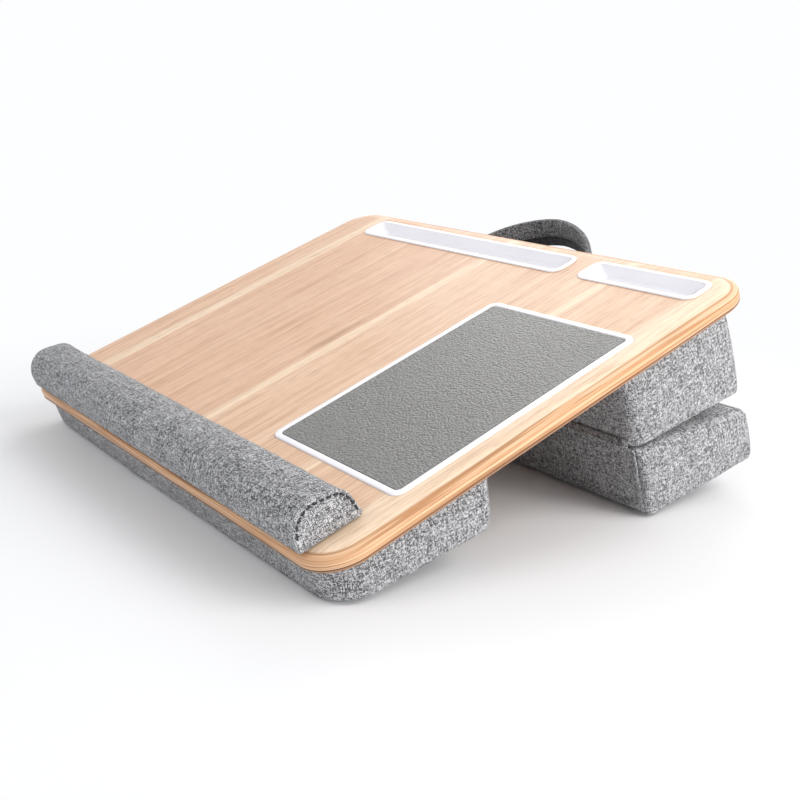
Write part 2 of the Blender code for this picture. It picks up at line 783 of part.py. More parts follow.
def fold_seam(grey, desk):
    """The rolled seam along the fold line, round the axis that the riser turns about."""
    shape = bmesh.new()
    bmesh.ops.create_cone(
        shape,
        cap_ends=True,
        segments=SEAM_SIDES,
        radius1=FOLD_SEAM_RADIUS,
        radius2=FOLD_SEAM_RADIUS,
        depth=CUSHION_WIDTH - 2 * FOLD_SEAM_MARGIN,
    )
    bmesh.ops.rotate(shape, matrix=Matrix.Rotation(math.pi / 2, 3, "Y"), verts=shape.verts)
    solid("fold_seam", shape, grey, desk, (0.0, FOLD_BACK, -BOARD_THICKNESS - FOLD_HEIGHT))


def tape_shape():
    """One strip of hook or loop tape, lying under z = 0."""
    loops = [centred_loop(TAPE_WIDTH, TAPE_LENGTH, TAPE_CORNER, height) for height in (0.0, -TAPE_THICKNESS)]
    return skin(loops, cap_first=True, cap_last=True)


def tapes(dark, desk, fold):
    """Hook tapes on the folding wedge's base, and the loop tapes that they meet under the board."""
    base = -LOWER_HEIGHT - TAPE_SINK - SEAT_GAP
    underside = -BOARD_THICKNESS - SEAT_GAP
    right = CUSHION_WIDTH / 2 - TAPE_END_MARGIN
    for side, right in (("left", -right), ("right", right)):
        solid("hook_tape_" + side, tape_shape(), dark, fold, (right, TAPE_BACK, base))
        solid("loop_tape_" + side, tape_shape(), dark, desk, (right, FOLD_BACK - TAPE_BACK, underside))


def handle_end():
    """The left end of the handle's line seen square to the board: a tab and the bend out of it."""
    start = -HANDLE_HALF_SPAN - HANDLE_BEND
    line = [(start - HANDLE_TAB_LENGTH, 0.0), (start - HANDLE_TAB_LENGTH / 2, 0.0)]
    for step in range(BEND_STEPS + 1):
        angle = 0.5 * math.pi * step / BEND_STEPS
        line.append((start + HANDLE_BEND * math.sin(angle), HANDLE_BEND * (1.0 - math.cos(angle))))
    return line


def handle_loop():
    """The handle's loop seen square to the board, left to right, a little fuller than an ellipse."""
    power = 1.0 / HANDLE_FULLNESS_SHARE
    line = []
    for step in range(1, HANDLE_STEPS):
        angle = math.pi * step / HANDLE_STEPS
        across = math.copysign(abs(math.cos(angle)) ** power, -math.cos(angle))
        out = math.sin(angle) ** power
        line.append((HANDLE_HALF_SPAN * across, between(HANDLE_BEND, HANDLE_REACH, out)))
    return line


def handle_sections(line, section):
    """A section of (across, up) points carried upright along a line that rises to the loop's end."""
    loops = []
    for at, (x, y) in enumerate(line):
        before = Vector(line[max(at - 1, 0)])
        after = Vector(line[min(at + 1, len(line) - 1)])
        along = (after - before).normalized()
        outward = Vector((-along.y, along.x))
        free = (y - HANDLE_LEVEL_REACH) / (HANDLE_REACH - HANDLE_LEVEL_REACH)
        lift = HANDLE_RISE * max(0.0, free)
        loops.append([(x + outward.x * a, y + outward.y * a, lift + up) for a, up in section])
    return loops


def carry_handle(dark, desk):
    """The strap in its loop, with its ends flat on the rear wedge, and the sleeve over its upper edge."""
    thick = HANDLE_THICKNESS / 2
    edge = HANDLE_THICKNESS / 4
    low = -HANDLE_HEIGHT
    section = (
        (-thick, low + edge),
        (-edge, low),
        (edge, low),
        (thick, low + edge),
        (thick, -edge),
        (edge, 0.0),
        (-edge, 0.0),
        (-thick, -edge),
    )
    rear = FOLD_BACK + FOLD_CLEARANCE + UPPER_DEPTH + SEAT_GAP + thick
    top = -BOARD_THICKNESS - HANDLE_TOP_BELOW_BOARD
    end = handle_end()
    line = end + handle_loop() + [(-x, y) for x, y in reversed(end)]
    shape = skin(handle_sections(line, section), cap_first=True, cap_last=True)
    bmesh.ops.recalc_face_normals(shape, faces=shape.faces)
    solid("handle_strap", shape, dark, desk, (0.0, rear, top))

    inner = thick + SEAT_GAP
    outer = inner + SLEEVE_THICKNESS
    brow = SEAT_GAP
    crest = brow + SLEEVE_THICKNESS
    section = (
        (-outer, crest - SLEEVE_HEIGHT),
        (-inner, crest - SLEEVE_HEIGHT),
        (-inner, brow),
        (inner, brow),
        (inner, crest - SLEEVE_HEIGHT),
        (outer, crest - SLEEVE_HEIGHT),
        (outer, crest - SLEEVE_THICKNESS),
        (inner, crest),
        (-inner, crest),
        (-outer, crest - SLEEVE_THICKNESS),
    )
    first = len(end) + SLEEVE_SHORT_STEPS
    covered = handle_sections(line, section)[first:-first]
    shape = skin(covered, cap_first=True, cap_last=True)
    bmesh.ops.recalc_face_normals(shape, faces=shape.faces)
    solid("handle_sleeve", shape, dark, desk, (0.0, rear, top))


def desk_points(made, desk):
    """The evaluated points of an object, in the desk frame."""
    graph = bpy.context.evaluated_depsgraph_get()
    into = desk.matrix_world.inverted() @ made.matrix_world
    return [into @ vertex.co for vertex in made.evaluated_get(graph).data.vertices]


def lowest(points, tilt):
    """The lowest height among points when the desk is tilted, its rear up."""
    return min(point.y * math.sin(tilt) + point.z * math.cos(tilt) for point in points)


def resting_tilt(front, rear):
    """The tilt at which the front cushion and the riser touch the floor together."""
    low = 0.0
    high = math.pi / 4
    for _ in range(TILT_STEPS):
        middle = (low + high) / 2
        if lowest(front, middle) > lowest(rear, middle):
            low = middle
        else:
            high = middle
    return (low + high) / 2


def stand(desk, front, rear):
    """Tilts the desk onto its two cushions and cuts each flat where it meets the floor."""
    bpy.context.view_layer.update()
    front_points = desk_points(front, desk)
    rear_points = desk_points(rear, desk)
    tilt = resting_tilt(front_points, rear_points)
    desk.rotation_euler = (tilt, 0.0, 0.0)
    desk.location = (0.0, 0.0, -lowest(front_points, tilt) - FLOOR_FLAT_DEPTH)
    bpy.context.view_layer.update()
    reach = []
    graph = bpy.context.evaluated_depsgraph_get()
    for made in bpy.context.collection.objects:
        if made.type == "MESH" and not made.hide_render:
            mesh = made.evaluated_get(graph).data
            reach += [(made.matrix_world @ vertex.co).y for vertex in mesh.vertices]
    desk.location.y = -(min(reach) + max(reach)) / 2
    heights = (0.0, -BOARD_THICKNESS)
    loops = [centred_loop(BOARD_WIDTH, 2 * BOARD_DEPTH, BOARD_CORNER, height) for height in heights]
    floor = cutter("floor_cutter", skin(loops, cap_first=True, cap_last=True), None)
    cut(front, floor)
    cut(rear, floor)


def main():
    """Builds the desk and stands it on the floor."""
    clear_scene()
    wood = finish("wood", (0.72, 0.49, 0.32), 0.45)
    white = finish("white_plastic", (0.86, 0.86, 0.87), 0.22)
    leather = finish("pad_leather", (0.30, 0.30, 0.28), 0.55)
    plate = finish("pad_plate", (0.10, 0.10, 0.10), 0.60)
    grey = finish("grey_fabric", (0.34, 0.35, 0.37), 0.90)
    dark = finish("dark_fabric", (0.12, 0.12, 0.13), 0.90)
    foam = finish("foam", (0.80, 0.78, 0.70), 0.95)
    tape = finish("adhesive_sheet", (0.75, 0.75, 0.72), 0.60)

    desk = empty("desk_frame", None, (0.0, 0.0, 0.0))
    fold = empty("fold_axis", desk, (0.0, FOLD_BACK, -BOARD_THICKNESS - FOLD_HEIGHT), -REST_OPENING)

    top = board(wood, desk)
    cut_recess(top, desk)
    mouse_pad(white, leather, plate, desk)
    for name, width, centre in (
        ("long_tray", LONG_TRAY_WIDTH, LONG_TRAY_CENTRE_RIGHT),
        ("short_tray", SHORT_TRAY_WIDTH, SHORT_TRAY_CENTRE_RIGHT),
    ):
        cut_tray_hole(top, name, width, centre, desk)
        tray(name, width, centre, white, desk)
    wrist_rest(grey, foam, tape, desk)

    underside = -BOARD_THICKNESS
    front = cushion("front_pad", front_pad_block(), grey, foam, desk, (0.0, FRONT_PAD_FRONT, underside))
    cushion("riser_upper", upper_block(), grey, foam, desk, (0.0, FOLD_BACK, underside))
    lower = lower_block()
    rear = cushion("riser_lower", lower, grey, foam, fold, (0.0, 0.0, 0.0))
    lower_top_panel(lower, grey, fold)
    front_panel(lower, grey, fold)
    fold_seam(grey, desk)
    tapes(dark, desk, fold)
    carry_handle(dark, desk)
    stand(desk, front, rear)


main()
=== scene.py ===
"""Looks of a lap desk with a folding riser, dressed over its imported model.

Pieces are built in the desk frame. Its origin is the middle of the board's front edge on its top
face, with X to the user's right, Y to the rear and Z square to the board. The folding wedge is built
in the frame of its fold line.
"""

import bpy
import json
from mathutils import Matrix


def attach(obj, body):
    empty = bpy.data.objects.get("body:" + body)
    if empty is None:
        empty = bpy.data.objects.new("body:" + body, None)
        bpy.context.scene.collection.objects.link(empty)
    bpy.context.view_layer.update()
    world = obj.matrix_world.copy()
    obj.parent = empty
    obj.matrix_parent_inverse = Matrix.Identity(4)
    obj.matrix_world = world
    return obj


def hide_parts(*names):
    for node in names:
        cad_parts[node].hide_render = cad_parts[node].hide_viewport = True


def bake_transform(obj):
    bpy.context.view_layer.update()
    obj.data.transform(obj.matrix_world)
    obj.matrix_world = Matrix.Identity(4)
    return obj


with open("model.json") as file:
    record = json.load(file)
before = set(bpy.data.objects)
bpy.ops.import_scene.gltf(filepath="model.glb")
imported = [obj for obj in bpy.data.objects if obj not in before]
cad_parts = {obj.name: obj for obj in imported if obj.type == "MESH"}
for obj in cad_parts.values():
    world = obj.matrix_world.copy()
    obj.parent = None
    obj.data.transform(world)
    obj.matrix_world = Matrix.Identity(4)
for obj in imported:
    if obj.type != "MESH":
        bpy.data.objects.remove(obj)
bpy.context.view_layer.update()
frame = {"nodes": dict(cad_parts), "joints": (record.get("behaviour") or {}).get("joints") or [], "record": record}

import json
import logging
import math
from collections.abc import Callable, Sequence
from dataclasses import dataclass
from enum import Enum
from typing import Any

import bmesh
import bpy
from mathutils import Matrix, Vector, noise

LOG = logging.getLogger("lap_desk")

Point = tuple[float, float, float]
Loop = list[Point]
Outline = list[tuple[float, float, tuple[float, float]]]

BOARD_THICKNESS = 0.0145
SEAT_GAP = 0.0003
FOLD_BACK = 0.286
FOLD_HEIGHT = 0.0665
REST_OPENING = math.radians(7.1)
QUARTER = 0.5 * math.pi
SIDES = (("left", -1.0), ("right", 1.0))


class Body(Enum):
    """The two bodies of the desk."""

    DESK = "desk"
    RISER = "riser"


class Slot(Enum):
    """The record's material slots that are dressed here."""

    WOOD = "wood"
    WHITE = "white_plastic"
    LEATHER = "pad_leather"
    PLATE = "pad_plate"
    GREY = "grey_fabric"
    DARK = "dark_fabric"
    ADHESIVE = "adhesive_sheet"


@dataclass(frozen=True)
class Stance:
    """Where the desk frame and the fold frame stand at rest."""

    desk: Matrix
    fold: Matrix

    @classmethod
    def from_frame(cls, opening: float) -> "Stance":
        """Reads the tilt from the mount on the board and the rest from the fold line of the joint.

        Args:
            opening: The angle between the folding wedge and its closed place, at rest.

        Returns:
            The two frames as matrices.
        """
        axis = Vector(frame["record"]["mounts"][0]["axis"])
        tilt = math.atan2(-axis.y, axis.z)
        turn = Matrix.Rotation(tilt, 4, "X")
        hinge = Vector(frame["joints"][0]["pos_m"])
        origin = hinge - turn.to_3x3() @ Vector((0.0, FOLD_BACK, -BOARD_THICKNESS - FOLD_HEIGHT))
        fold = Matrix.Translation(hinge) @ Matrix.Rotation(tilt - opening, 4, "X")
        return cls(Matrix.Translation(origin) @ turn, fold)


STANCE = Stance.from_frame(REST_OPENING)


# Shader trees


class Tree:
    """Places nodes in one shader tree and joins them."""

    def __init__(self, tree: bpy.types.NodeTree) -> None:
        """Keeps the tree that the nodes go into."""
        self.tree = tree

    def add(self, kind: str, inputs: dict[Any, Any] | None = None, **settings: Any) -> bpy.types.Node:
        """Places one node.

        Args:
            kind: The node's type.
            inputs: Values or sockets for its inputs, by name or number.
            settings: Properties of the node.

        Returns:
            The node.
        """
        node = self.tree.nodes.new(kind)
        for name, value in settings.items():
            setattr(node, name, value)
        self.feed(node, inputs or {})
        return node

    def feed(self, node: bpy.types.Node, inputs: dict[Any, Any]) -> None:
        """Sets or links a node's inputs.

        Args:
            node: The node.
            inputs: Values or sockets for its inputs, by name or number.
        """
        for key, value in inputs.items():
            if isinstance(value, bpy.types.NodeSocket):
                self.tree.links.new(value, node.inputs[key])
            else:
                node.inputs[key].default_value = value

    def math(self, operation: str, first: Any, second: Any = 0.0, third: Any = 0.0) -> bpy.types.NodeSocket:
        """The result of a Math node.

        Args:
            operation: Its operation.
            first: First value or socket.
            second: Second value or socket.
            third: Third value or socket.

        Returns:
            The output socket.
        """
        node = self.add("ShaderNodeMath", {0: first, 1: second, 2: third}, operation=operation)
        return node.outputs[0]

    def spread(self, value: Any, low: float, high: float, start: float = 0.0, end: float = 1.0) -> Any:
        """A value mapped from one range to another and kept inside it.

        Args:
            value: The socket to map.
            low: Value that becomes start.
            high: Value that becomes end.
            start: Result at low.
            end: Result at high.

        Returns:
            The output socket.
        """
        inputs = {"Value": value, "From Min": low, "From Max": high, "To Min": start, "To Max": end}
        return self.add("ShaderNodeMapRange", inputs, interpolation_type="SMOOTHSTEP").outputs["Result"]

    def mix(self, share: Any, first: Any, second: Any, blend: str = "MIX") -> bpy.types.NodeSocket:
        """Two colours mixed.

        Args:
            share: How much of the second colour.
            first: First colour or socket.
            second: Second colour or socket.
            blend: Blend type.

        Returns:
            The output socket.
        """
        inputs = {0: share, 6: first, 7: second}
        return self.add("ShaderNodeMix", inputs, data_type="RGBA", blend_type=blend).outputs[2]

    def ramp(self, value: Any, stops: Sequence[tuple[float, Sequence[float]]]) -> bpy.types.NodeSocket:
        """A colour ramp.

        Args:
            value: The socket that runs along it.
            stops: Places from 0 to 1 with their colours.

        Returns:
            The colour socket.
        """
        node = self.add("ShaderNodeValToRGB", {0: value})
        elements = node.color_ramp.elements
        while len(elements) < len(stops):
            elements.new(1.0)
        for element, (place, colour) in zip(elements, stops):
            element.position = place
            element.color = (*colour, 1.0)
        return node.outputs[0]

    def stretched(self, place: Any, scale: Sequence[float], shift: Sequence[float] = (0, 0, 0)) -> Any:
        """A place scaled on each axis.

        Args:
            place: The vector socket.
            scale: Scale on each axis.
            shift: What is added after it.

        Returns:
            The vector socket.
        """
        node = self.add("ShaderNodeVectorMath", {0: place, 1: scale, 2: shift}, operation="MULTIPLY_ADD")
        return node.outputs[0]

    def noise(self, place: Any, scale: float, detail: float = 2.0, distortion: float = 0.0) -> Any:
        """The factor of a noise texture.

        Args:
            place: The vector socket.
            scale: Its scale.
            detail: Its detail.
            distortion: Its distortion.

        Returns:
            The factor socket.
        """
        inputs = {"Vector": place, "Scale": scale, "Detail": detail, "Distortion": distortion}
        return self.add("ShaderNodeTexNoise", inputs).outputs[0]


@dataclass(frozen=True)
class Port:
    """One socket of a shared effect."""

    name: str
    kind: str
    inward: bool
    start: float = 0.0


class Effect:
    """A shader node group that more than one material uses, built once."""

    name = "effect"
    ports: tuple[Port, ...] = ()

    def build(self, tree: Tree, given: bpy.types.Node, result: bpy.types.Node) -> None:
        """Fills the group between its input node and its output node."""
        raise NotImplementedError

    def group(self) -> bpy.types.NodeTree:
        """The node group, made at the first call."""
        found = bpy.data.node_groups.get(self.name)
        if found:
            return found
        made = bpy.data.node_groups.new(self.name, "ShaderNodeTree")
        for port in self.ports:
            way = "INPUT" if port.inward else "OUTPUT"
            socket = made.interface.new_socket(port.name, in_out=way, socket_type=port.kind)
            if port.inward and port.kind == "NodeSocketFloat":
                socket.default_value = port.start
        tree = Tree(made)
        self.build(tree, tree.add("NodeGroupInput"), tree.add("NodeGroupOutput"))
        return made

    def place(self, tree: Tree, inputs: dict[str, Any]) -> bpy.types.Node:
        """The effect as a node in a material.

        Args:
            tree: The material's tree.
            inputs: Values or sockets for the group's inputs.

        Returns:
            The group node.
        """
        return tree.add("ShaderNodeGroup", inputs, node_tree=self.group())


class Weave(Effect):
    """Plain weave of flecked threads, laid on whichever faces point along X, Y or Z."""

    name = "weave"
    ports = (
        Port("Place", "NodeSocketVector", True),
        Port("Facing", "NodeSocketVector", True),
        Port("Threads", "NodeSocketFloat", True, 900.0),
        Port("Fleck", "NodeSocketFloat", True, 3.0),
        Port("Shade", "NodeSocketFloat", False),
        Port("Height", "NodeSocketFloat", False),
    )

    @staticmethod
    def flecks(tree: Tree, along: Any, across: Any, length: Any, seed: float) -> bpy.types.NodeSocket:
        """Random tones along each thread, in flecks that start at a different place on each.

        Args:
            tree: The group's tree.
            along: Distance along the thread, in threads.
            across: Distance across the threads, in threads.
            length: Length of a fleck, in threads.
            seed: Sets one run of threads apart from another.

        Returns:
            The tone socket, from 0 to 1.
        """
        line = tree.math("FLOOR", across)
        inputs = {"W": tree.math("ADD", line, seed)}
        start = tree.add("ShaderNodeTexWhiteNoise", inputs, noise_dimensions="1D").outputs[0]
        place = tree.math("ADD", tree.math("DIVIDE", along, length), tree.math("MULTIPLY", start, 9.0))
        at = tree.add("ShaderNodeCombineXYZ", {0: line, 1: tree.math("FLOOR", place), 2: seed}).outputs[0]
        return tree.add("ShaderNodeTexWhiteNoise", {"Vector": at}, noise_dimensions="3D").outputs[0]

    def build(self, tree: Tree, given: bpy.types.Node, result: bpy.types.Node) -> None:
        """Crosses two runs of flecked threads and lets them pass over and under each other."""
        place = tree.add("ShaderNodeSeparateXYZ", {0: given.outputs["Place"]}).outputs
        facing = tree.add("ShaderNodeSeparateXYZ", {0: given.outputs["Facing"]}).outputs
        ax, ay, az = (tree.math("ABSOLUTE", facing[at]) for at in range(3))
        on_side = tree.math("GREATER_THAN", ax, tree.math("MAXIMUM", ay, az))
        on_face = tree.math("GREATER_THAN", az, tree.math("MAXIMUM", ax, ay))
        u = tree.math("MULTIPLY_ADD", on_side, tree.math("SUBTRACT", place[1], place[0]), place[0])
        v = tree.math("MULTIPLY_ADD", on_face, tree.math("SUBTRACT", place[1], place[2]), place[2])
        wander = tree.noise(given.outputs["Place"], 55.0, 2.0)
        shift = tree.math("MULTIPLY", tree.math("SUBTRACT", wander, 0.5), 0.003)
        u = tree.math("MULTIPLY", tree.math("ADD", u, shift), given.outputs["Threads"])
        v = tree.math("MULTIPLY", tree.math("ADD", v, shift), given.outputs["Threads"])
        runs = []
        for along, across, seed in ((u, v, 3.7), (v, u, 11.9)):
            short = self.flecks(tree, along, across, given.outputs["Fleck"], seed)
            slub = tree.math("MULTIPLY", given.outputs["Fleck"], 6.0)
            long = self.flecks(tree, along, across, slub, seed + 30.0)
            runs.append(tree.math("MULTIPLY_ADD", long, 0.32, tree.math("MULTIPLY", short, 0.68)))
        crests = [tree.math("SINE", tree.math("MULTIPLY", way, math.pi)) for way in (u, v)]
        over = tree.spread(tree.math("MULTIPLY", crests[0], crests[1]), -0.2, 0.2)
        shade = tree.add("ShaderNodeMix", {0: over, 2: runs[0], 3: runs[1]}, data_type="FLOAT").outputs[0]
        rounds = [tree.math("ABSOLUTE", crest) for crest in crests]
        inputs = {0: over, 2: rounds[1], 3: rounds[0]}
        height = tree.add("ShaderNodeMix", inputs, data_type="FLOAT").outputs[0]
        tree.feed(result, {"Shade": shade, "Height": tree.math("MULTIPLY_ADD", shade, 0.6, height)})


class Handling(Effect):
    """Soft marks of use: a slow cloud and fine dust."""

    name = "handling"
    ports = (
        Port("Place", "NodeSocketVector", True),
        Port("Scale", "NodeSocketFloat", True, 12.0),
        Port("Cloud", "NodeSocketFloat", False),
        Port("Dust", "NodeSocketFloat", False),
    )

    def build(self, tree: Tree, given: bpy.types.Node, result: bpy.types.Node) -> None:
        """Two noises of very different size."""
        inputs = {"Vector": given.outputs["Place"], "Scale": given.outputs["Scale"], "Detail": 3.0}
        cloud = tree.add("ShaderNodeTexNoise", inputs).outputs[0]
        dust = tree.noise(given.outputs["Place"], 900.0, 2.0)
        tree.feed(result, {"Cloud": tree.spread(cloud, 0.3, 0.7), "Dust": tree.spread(dust, 0.55, 0.8)})


WEAVE = Weave()
HANDLING = Handling()


# Finishes


@dataclass(frozen=True)
class Finish:
    """A material with its record slot. Subclasses lay its nodes."""

    name: str
    slot: Slot

    def dress(self, tree: Tree, shader: bpy.types.Node) -> None:
        """Lays the nodes that feed the shader."""
        raise NotImplementedError

    def material(self) -> bpy.types.Material:
        """The material, made at the first call."""
        found = bpy.data.materials.get(self.name)
        if found:
            return found
        made = bpy.data.materials.new(self.name)
        made.use_nodes = True
        self.dress(Tree(made.node_tree), made.node_tree.nodes["Principled BSDF"])
        return made


@dataclass(frozen=True)
class Cloth(Finish):
    """Heathered linen-look weave."""

    dark: Sequence[float] = (0.030, 0.031, 0.034)
    middle: Sequence[float] = (0.260, 0.262, 0.273)
    light: Sequence[float] = (0.74, 0.745, 0.765)
    threads: float = 1500.0
    fleck: float = 2.4
    bump: float = 0.55

    def dress(self, tree: Tree, shader: bpy.types.Node) -> None:
        """Threads in three greys, with a bump of the weave and a slow unevenness."""
        texture = tree.add("ShaderNodeTexCoord").outputs
        inputs = {"Place": texture["Object"], "Facing": texture["Normal"]}
        weave = WEAVE.place(tree, {**inputs, "Threads": self.threads, "Fleck": self.fleck}).outputs
        colour = tree.ramp(weave["Shade"], ((0.24, self.dark), (0.50, self.middle), (0.76, self.light)))
        marks = HANDLING.place(tree, {"Place": texture["Object"], "Scale": 26.0}).outputs
        toned = tree.mix(tree.math("MULTIPLY", marks["Cloud"], 0.08), colour, (*self.middle, 1.0))
        inputs = {"Strength": self.bump, "Distance": 0.0006, "Height": weave["Height"]}
        bump = tree.add("ShaderNodeBump", inputs)
        rough = tree.math("MULTIPLY_ADD", marks["Dust"], 0.06, 0.88)
        tree.feed(shader, {"Base Color": toned, "Roughness": rough, "Normal": bump.outputs[0]})
        tree.feed(shader, {"Sheen Weight": 0.15, "Sheen Roughness": 0.5, "Specular IOR Level": 0.2})


@dataclass(frozen=True)
class Strip:
    """One strip of the board's surface."""

    end: float
    colour: Sequence[float]


@dataclass(frozen=True)
class StripWood(Finish):
    """Lacquered strip wood with grain along Y and a banded edge."""

    strips: tuple[Strip, ...] = ()
    half_width: float = 0.28
    border: float = 0.002
    grain: Sequence[float] = (0.62, 0.42, 0.30, 1.0)
    edge_top: float = -0.0019
    edge_shade_line: float = -0.0110
    edge_shaded_foot: float = -0.0119

    def face(self, tree: Tree, place: Any) -> tuple[Any, Any]:
        """The face's colour and its grain.

        Args:
            tree: The material's tree.
            place: Object coordinates in the desk frame.

        Returns:
            The colour socket and the grain socket.
        """
        wave = tree.noise(tree.stretched(place, (3.0, 2.2, 3.0)), 1.0, 2.0)
        sway = tree.math("MULTIPLY", tree.math("SUBTRACT", wave, 0.5), 0.012)
        parts = tree.add("ShaderNodeSeparateXYZ", {0: place}).outputs
        across = tree.math("DIVIDE", tree.math("ADD", parts[0], self.half_width), 2 * self.half_width)
        stops = []
        start = 0.0
        for strip in self.strips:
            end = strip.end / (2 * self.half_width)
            stops += [(start + self.border, strip.colour), (end - self.border, strip.colour)]
            start = end
        tone = tree.ramp(across, stops)
        inputs = {0: tree.math("ADD", parts[0], sway), 1: parts[1], 2: parts[2]}
        swayed = tree.add("ShaderNodeCombineXYZ", inputs).outputs[0]
        figure = tree.noise(tree.stretched(swayed, (120.0, 3.4, 20.0)), 1.0, 6.0, 0.7)
        streak = tree.noise(tree.stretched(swayed, (900.0, 17.0, 90.0)), 1.0, 4.0, 0.25)
        pores = tree.noise(tree.stretched(swayed, (1900.0, 60.0, 400.0)), 1.0, 1.0)
        grained = tree.mix(tree.spread(figure, 0.38, 0.75, 0.0, 0.34), tone, self.grain, "MULTIPLY")
        grained = tree.mix(tree.spread(streak, 0.44, 0.70, 0.0, 0.50), grained, self.grain, "MULTIPLY")
        pored = tree.mix(tree.spread(pores, 0.56, 0.72, 0.0, 0.42), grained, (0.34, 0.19, 0.11, 1.0))
        return pored, tree.math("ADD", streak, tree.math("MULTIPLY", pores, -0.6))

    def knot(self, tree: Tree, place: Any, colour: Any) -> Any:
        """Darkens a short mineral streak in the wood.

        Args:
            tree: The material's tree.
            place: Object coordinates in the desk frame.
            colour: The colour so far.

        Returns:
            The colour socket.
        """
        near = tree.stretched(place, (110.0, 16.0, 0.0), (1.65, -3.35, 0.0))
        reach = tree.add("ShaderNodeVectorMath", {0: near}, operation="LENGTH").outputs["Value"]
        rough = tree.noise(tree.stretched(place, (300.0, 60.0, 0.0)), 1.0, 3.0)
        edge = tree.math("ADD", reach, tree.math("MULTIPLY", rough, 0.8))
        share = tree.spread(edge, 0.45, 1.3, 0.5, 0.0)
        return tree.mix(share, colour, (0.33, 0.17, 0.09, 1.0))

    def banded(self, tree: Tree, place: Any, colour: Any) -> Any:
        """Lays the banded edge over the face's colour, a dark line near its foot that is partly burnt edge and
        partly painted shade, and painted shade on the lower chamfer.

        Args:
            tree: The material's tree.
            place: Object coordinates in the desk frame.
            colour: The face's colour.

        Returns:
            The colour socket.
        """
        parts = tree.add("ShaderNodeSeparateXYZ", {0: place}).outputs
        ripple = tree.noise(tree.stretched(place, (9.0, 9.0, 380.0)), 1.0, 2.0)
        layer = tree.noise(tree.stretched(place, (5.0, 5.0, 850.0)), 1.0, 2.0)
        band = tree.mix(tree.spread(ripple, 0.38, 0.62), (0.74, 0.44, 0.245, 1.0), (0.54, 0.27, 0.125, 1.0))
        band = tree.mix(tree.spread(layer, 0.53, 0.60, 0.0, 0.80), band, (0.86, 0.60, 0.39, 1.0))
        band = tree.mix(tree.spread(layer, 0.46, 0.40, 0.0, 0.70), band, (0.36, 0.17, 0.075, 1.0))
        waver = tree.math("MULTIPLY", tree.math("SUBTRACT", ripple, 0.5), 0.0012)
        depth = tree.math("ADD", parts[2], waver)
        edged = tree.mix(tree.spread(depth, self.edge_top, self.edge_top + 0.0009, 1.0, 0.0), colour, band)
        # Dark line near the foot of the edge: partly the burnt cut edge, partly painted shade.
        line = tree.spread(parts[2], self.edge_shade_line, self.edge_shade_line + 0.0004, 1.0, 0.0)
        edged = tree.mix(line, edged, (0.13, 0.06, 0.03, 1.0))
        # Below the line the foot of the edge is painted darker brown: painted shade on the lower chamfer.
        foot = tree.spread(parts[2], self.edge_shaded_foot, self.edge_shaded_foot + 0.0003, 1.0, 0.0)
        return tree.mix(foot, edged, (0.42, 0.22, 0.11, 1.0))

    def dress(self, tree: Tree, shader: bpy.types.Node) -> None:
        """Strips, grain, a knot streak and the banded edge under a satin lacquer."""
        place = tree.add("ShaderNodeTexCoord").outputs["Object"]
        colour, grain = self.face(tree, place)
        colour = self.knot(tree, place, colour)
        colour = self.banded(tree, place, colour)
        marks = HANDLING.place(tree, {"Place": place, "Scale": 7.0}).outputs
        rough = tree.math("MULTIPLY_ADD", marks["Cloud"], 0.08, 0.44)
        bump = tree.add("ShaderNodeBump", {"Strength": 0.12, "Distance": 0.0004, "Height": grain})
        tree.feed(shader, {"Base Color": colour, "Roughness": rough, "Normal": bump.outputs[0]})
        tree.feed(shader, {"Coat Weight": 0.08, "Coat Roughness": 0.35, "Specular IOR Level": 0.32})


@dataclass(frozen=True)
class Moulding(Finish):
    """Glossy moulded plastic."""

    colour: Sequence[float] = (0.95, 0.94, 0.98)
    rough: float = 0.16

    def dress(self, tree: Tree, shader: bpy.types.Node) -> None:
        """A faint unevenness of tone and gloss, with the ripple of the mould."""
        place = tree.add("ShaderNodeTexCoord").outputs["Object"]
        marks = HANDLING.place(tree, {"Place": place, "Scale": 18.0}).outputs
        soiled = tuple(0.965 * value for value in self.colour)
        colour = tree.mix(marks["Cloud"], (*self.colour, 1.0), (*soiled, 1.0))
        rough = tree.math("MULTIPLY_ADD", marks["Dust"], 0.10, self.rough)
        ripple = tree.noise(place, 70.0, 1.0)
        bump = tree.add("ShaderNodeBump", {"Strength": 0.05, "Distance": 0.0006, "Height": ripple})
        tree.feed(shader, {"Base Color": colour, "Roughness": rough, "Normal": bump.outputs[0]})
        tree.feed(shader, {"Coat Weight": 0.3, "Coat Roughness": 0.08})


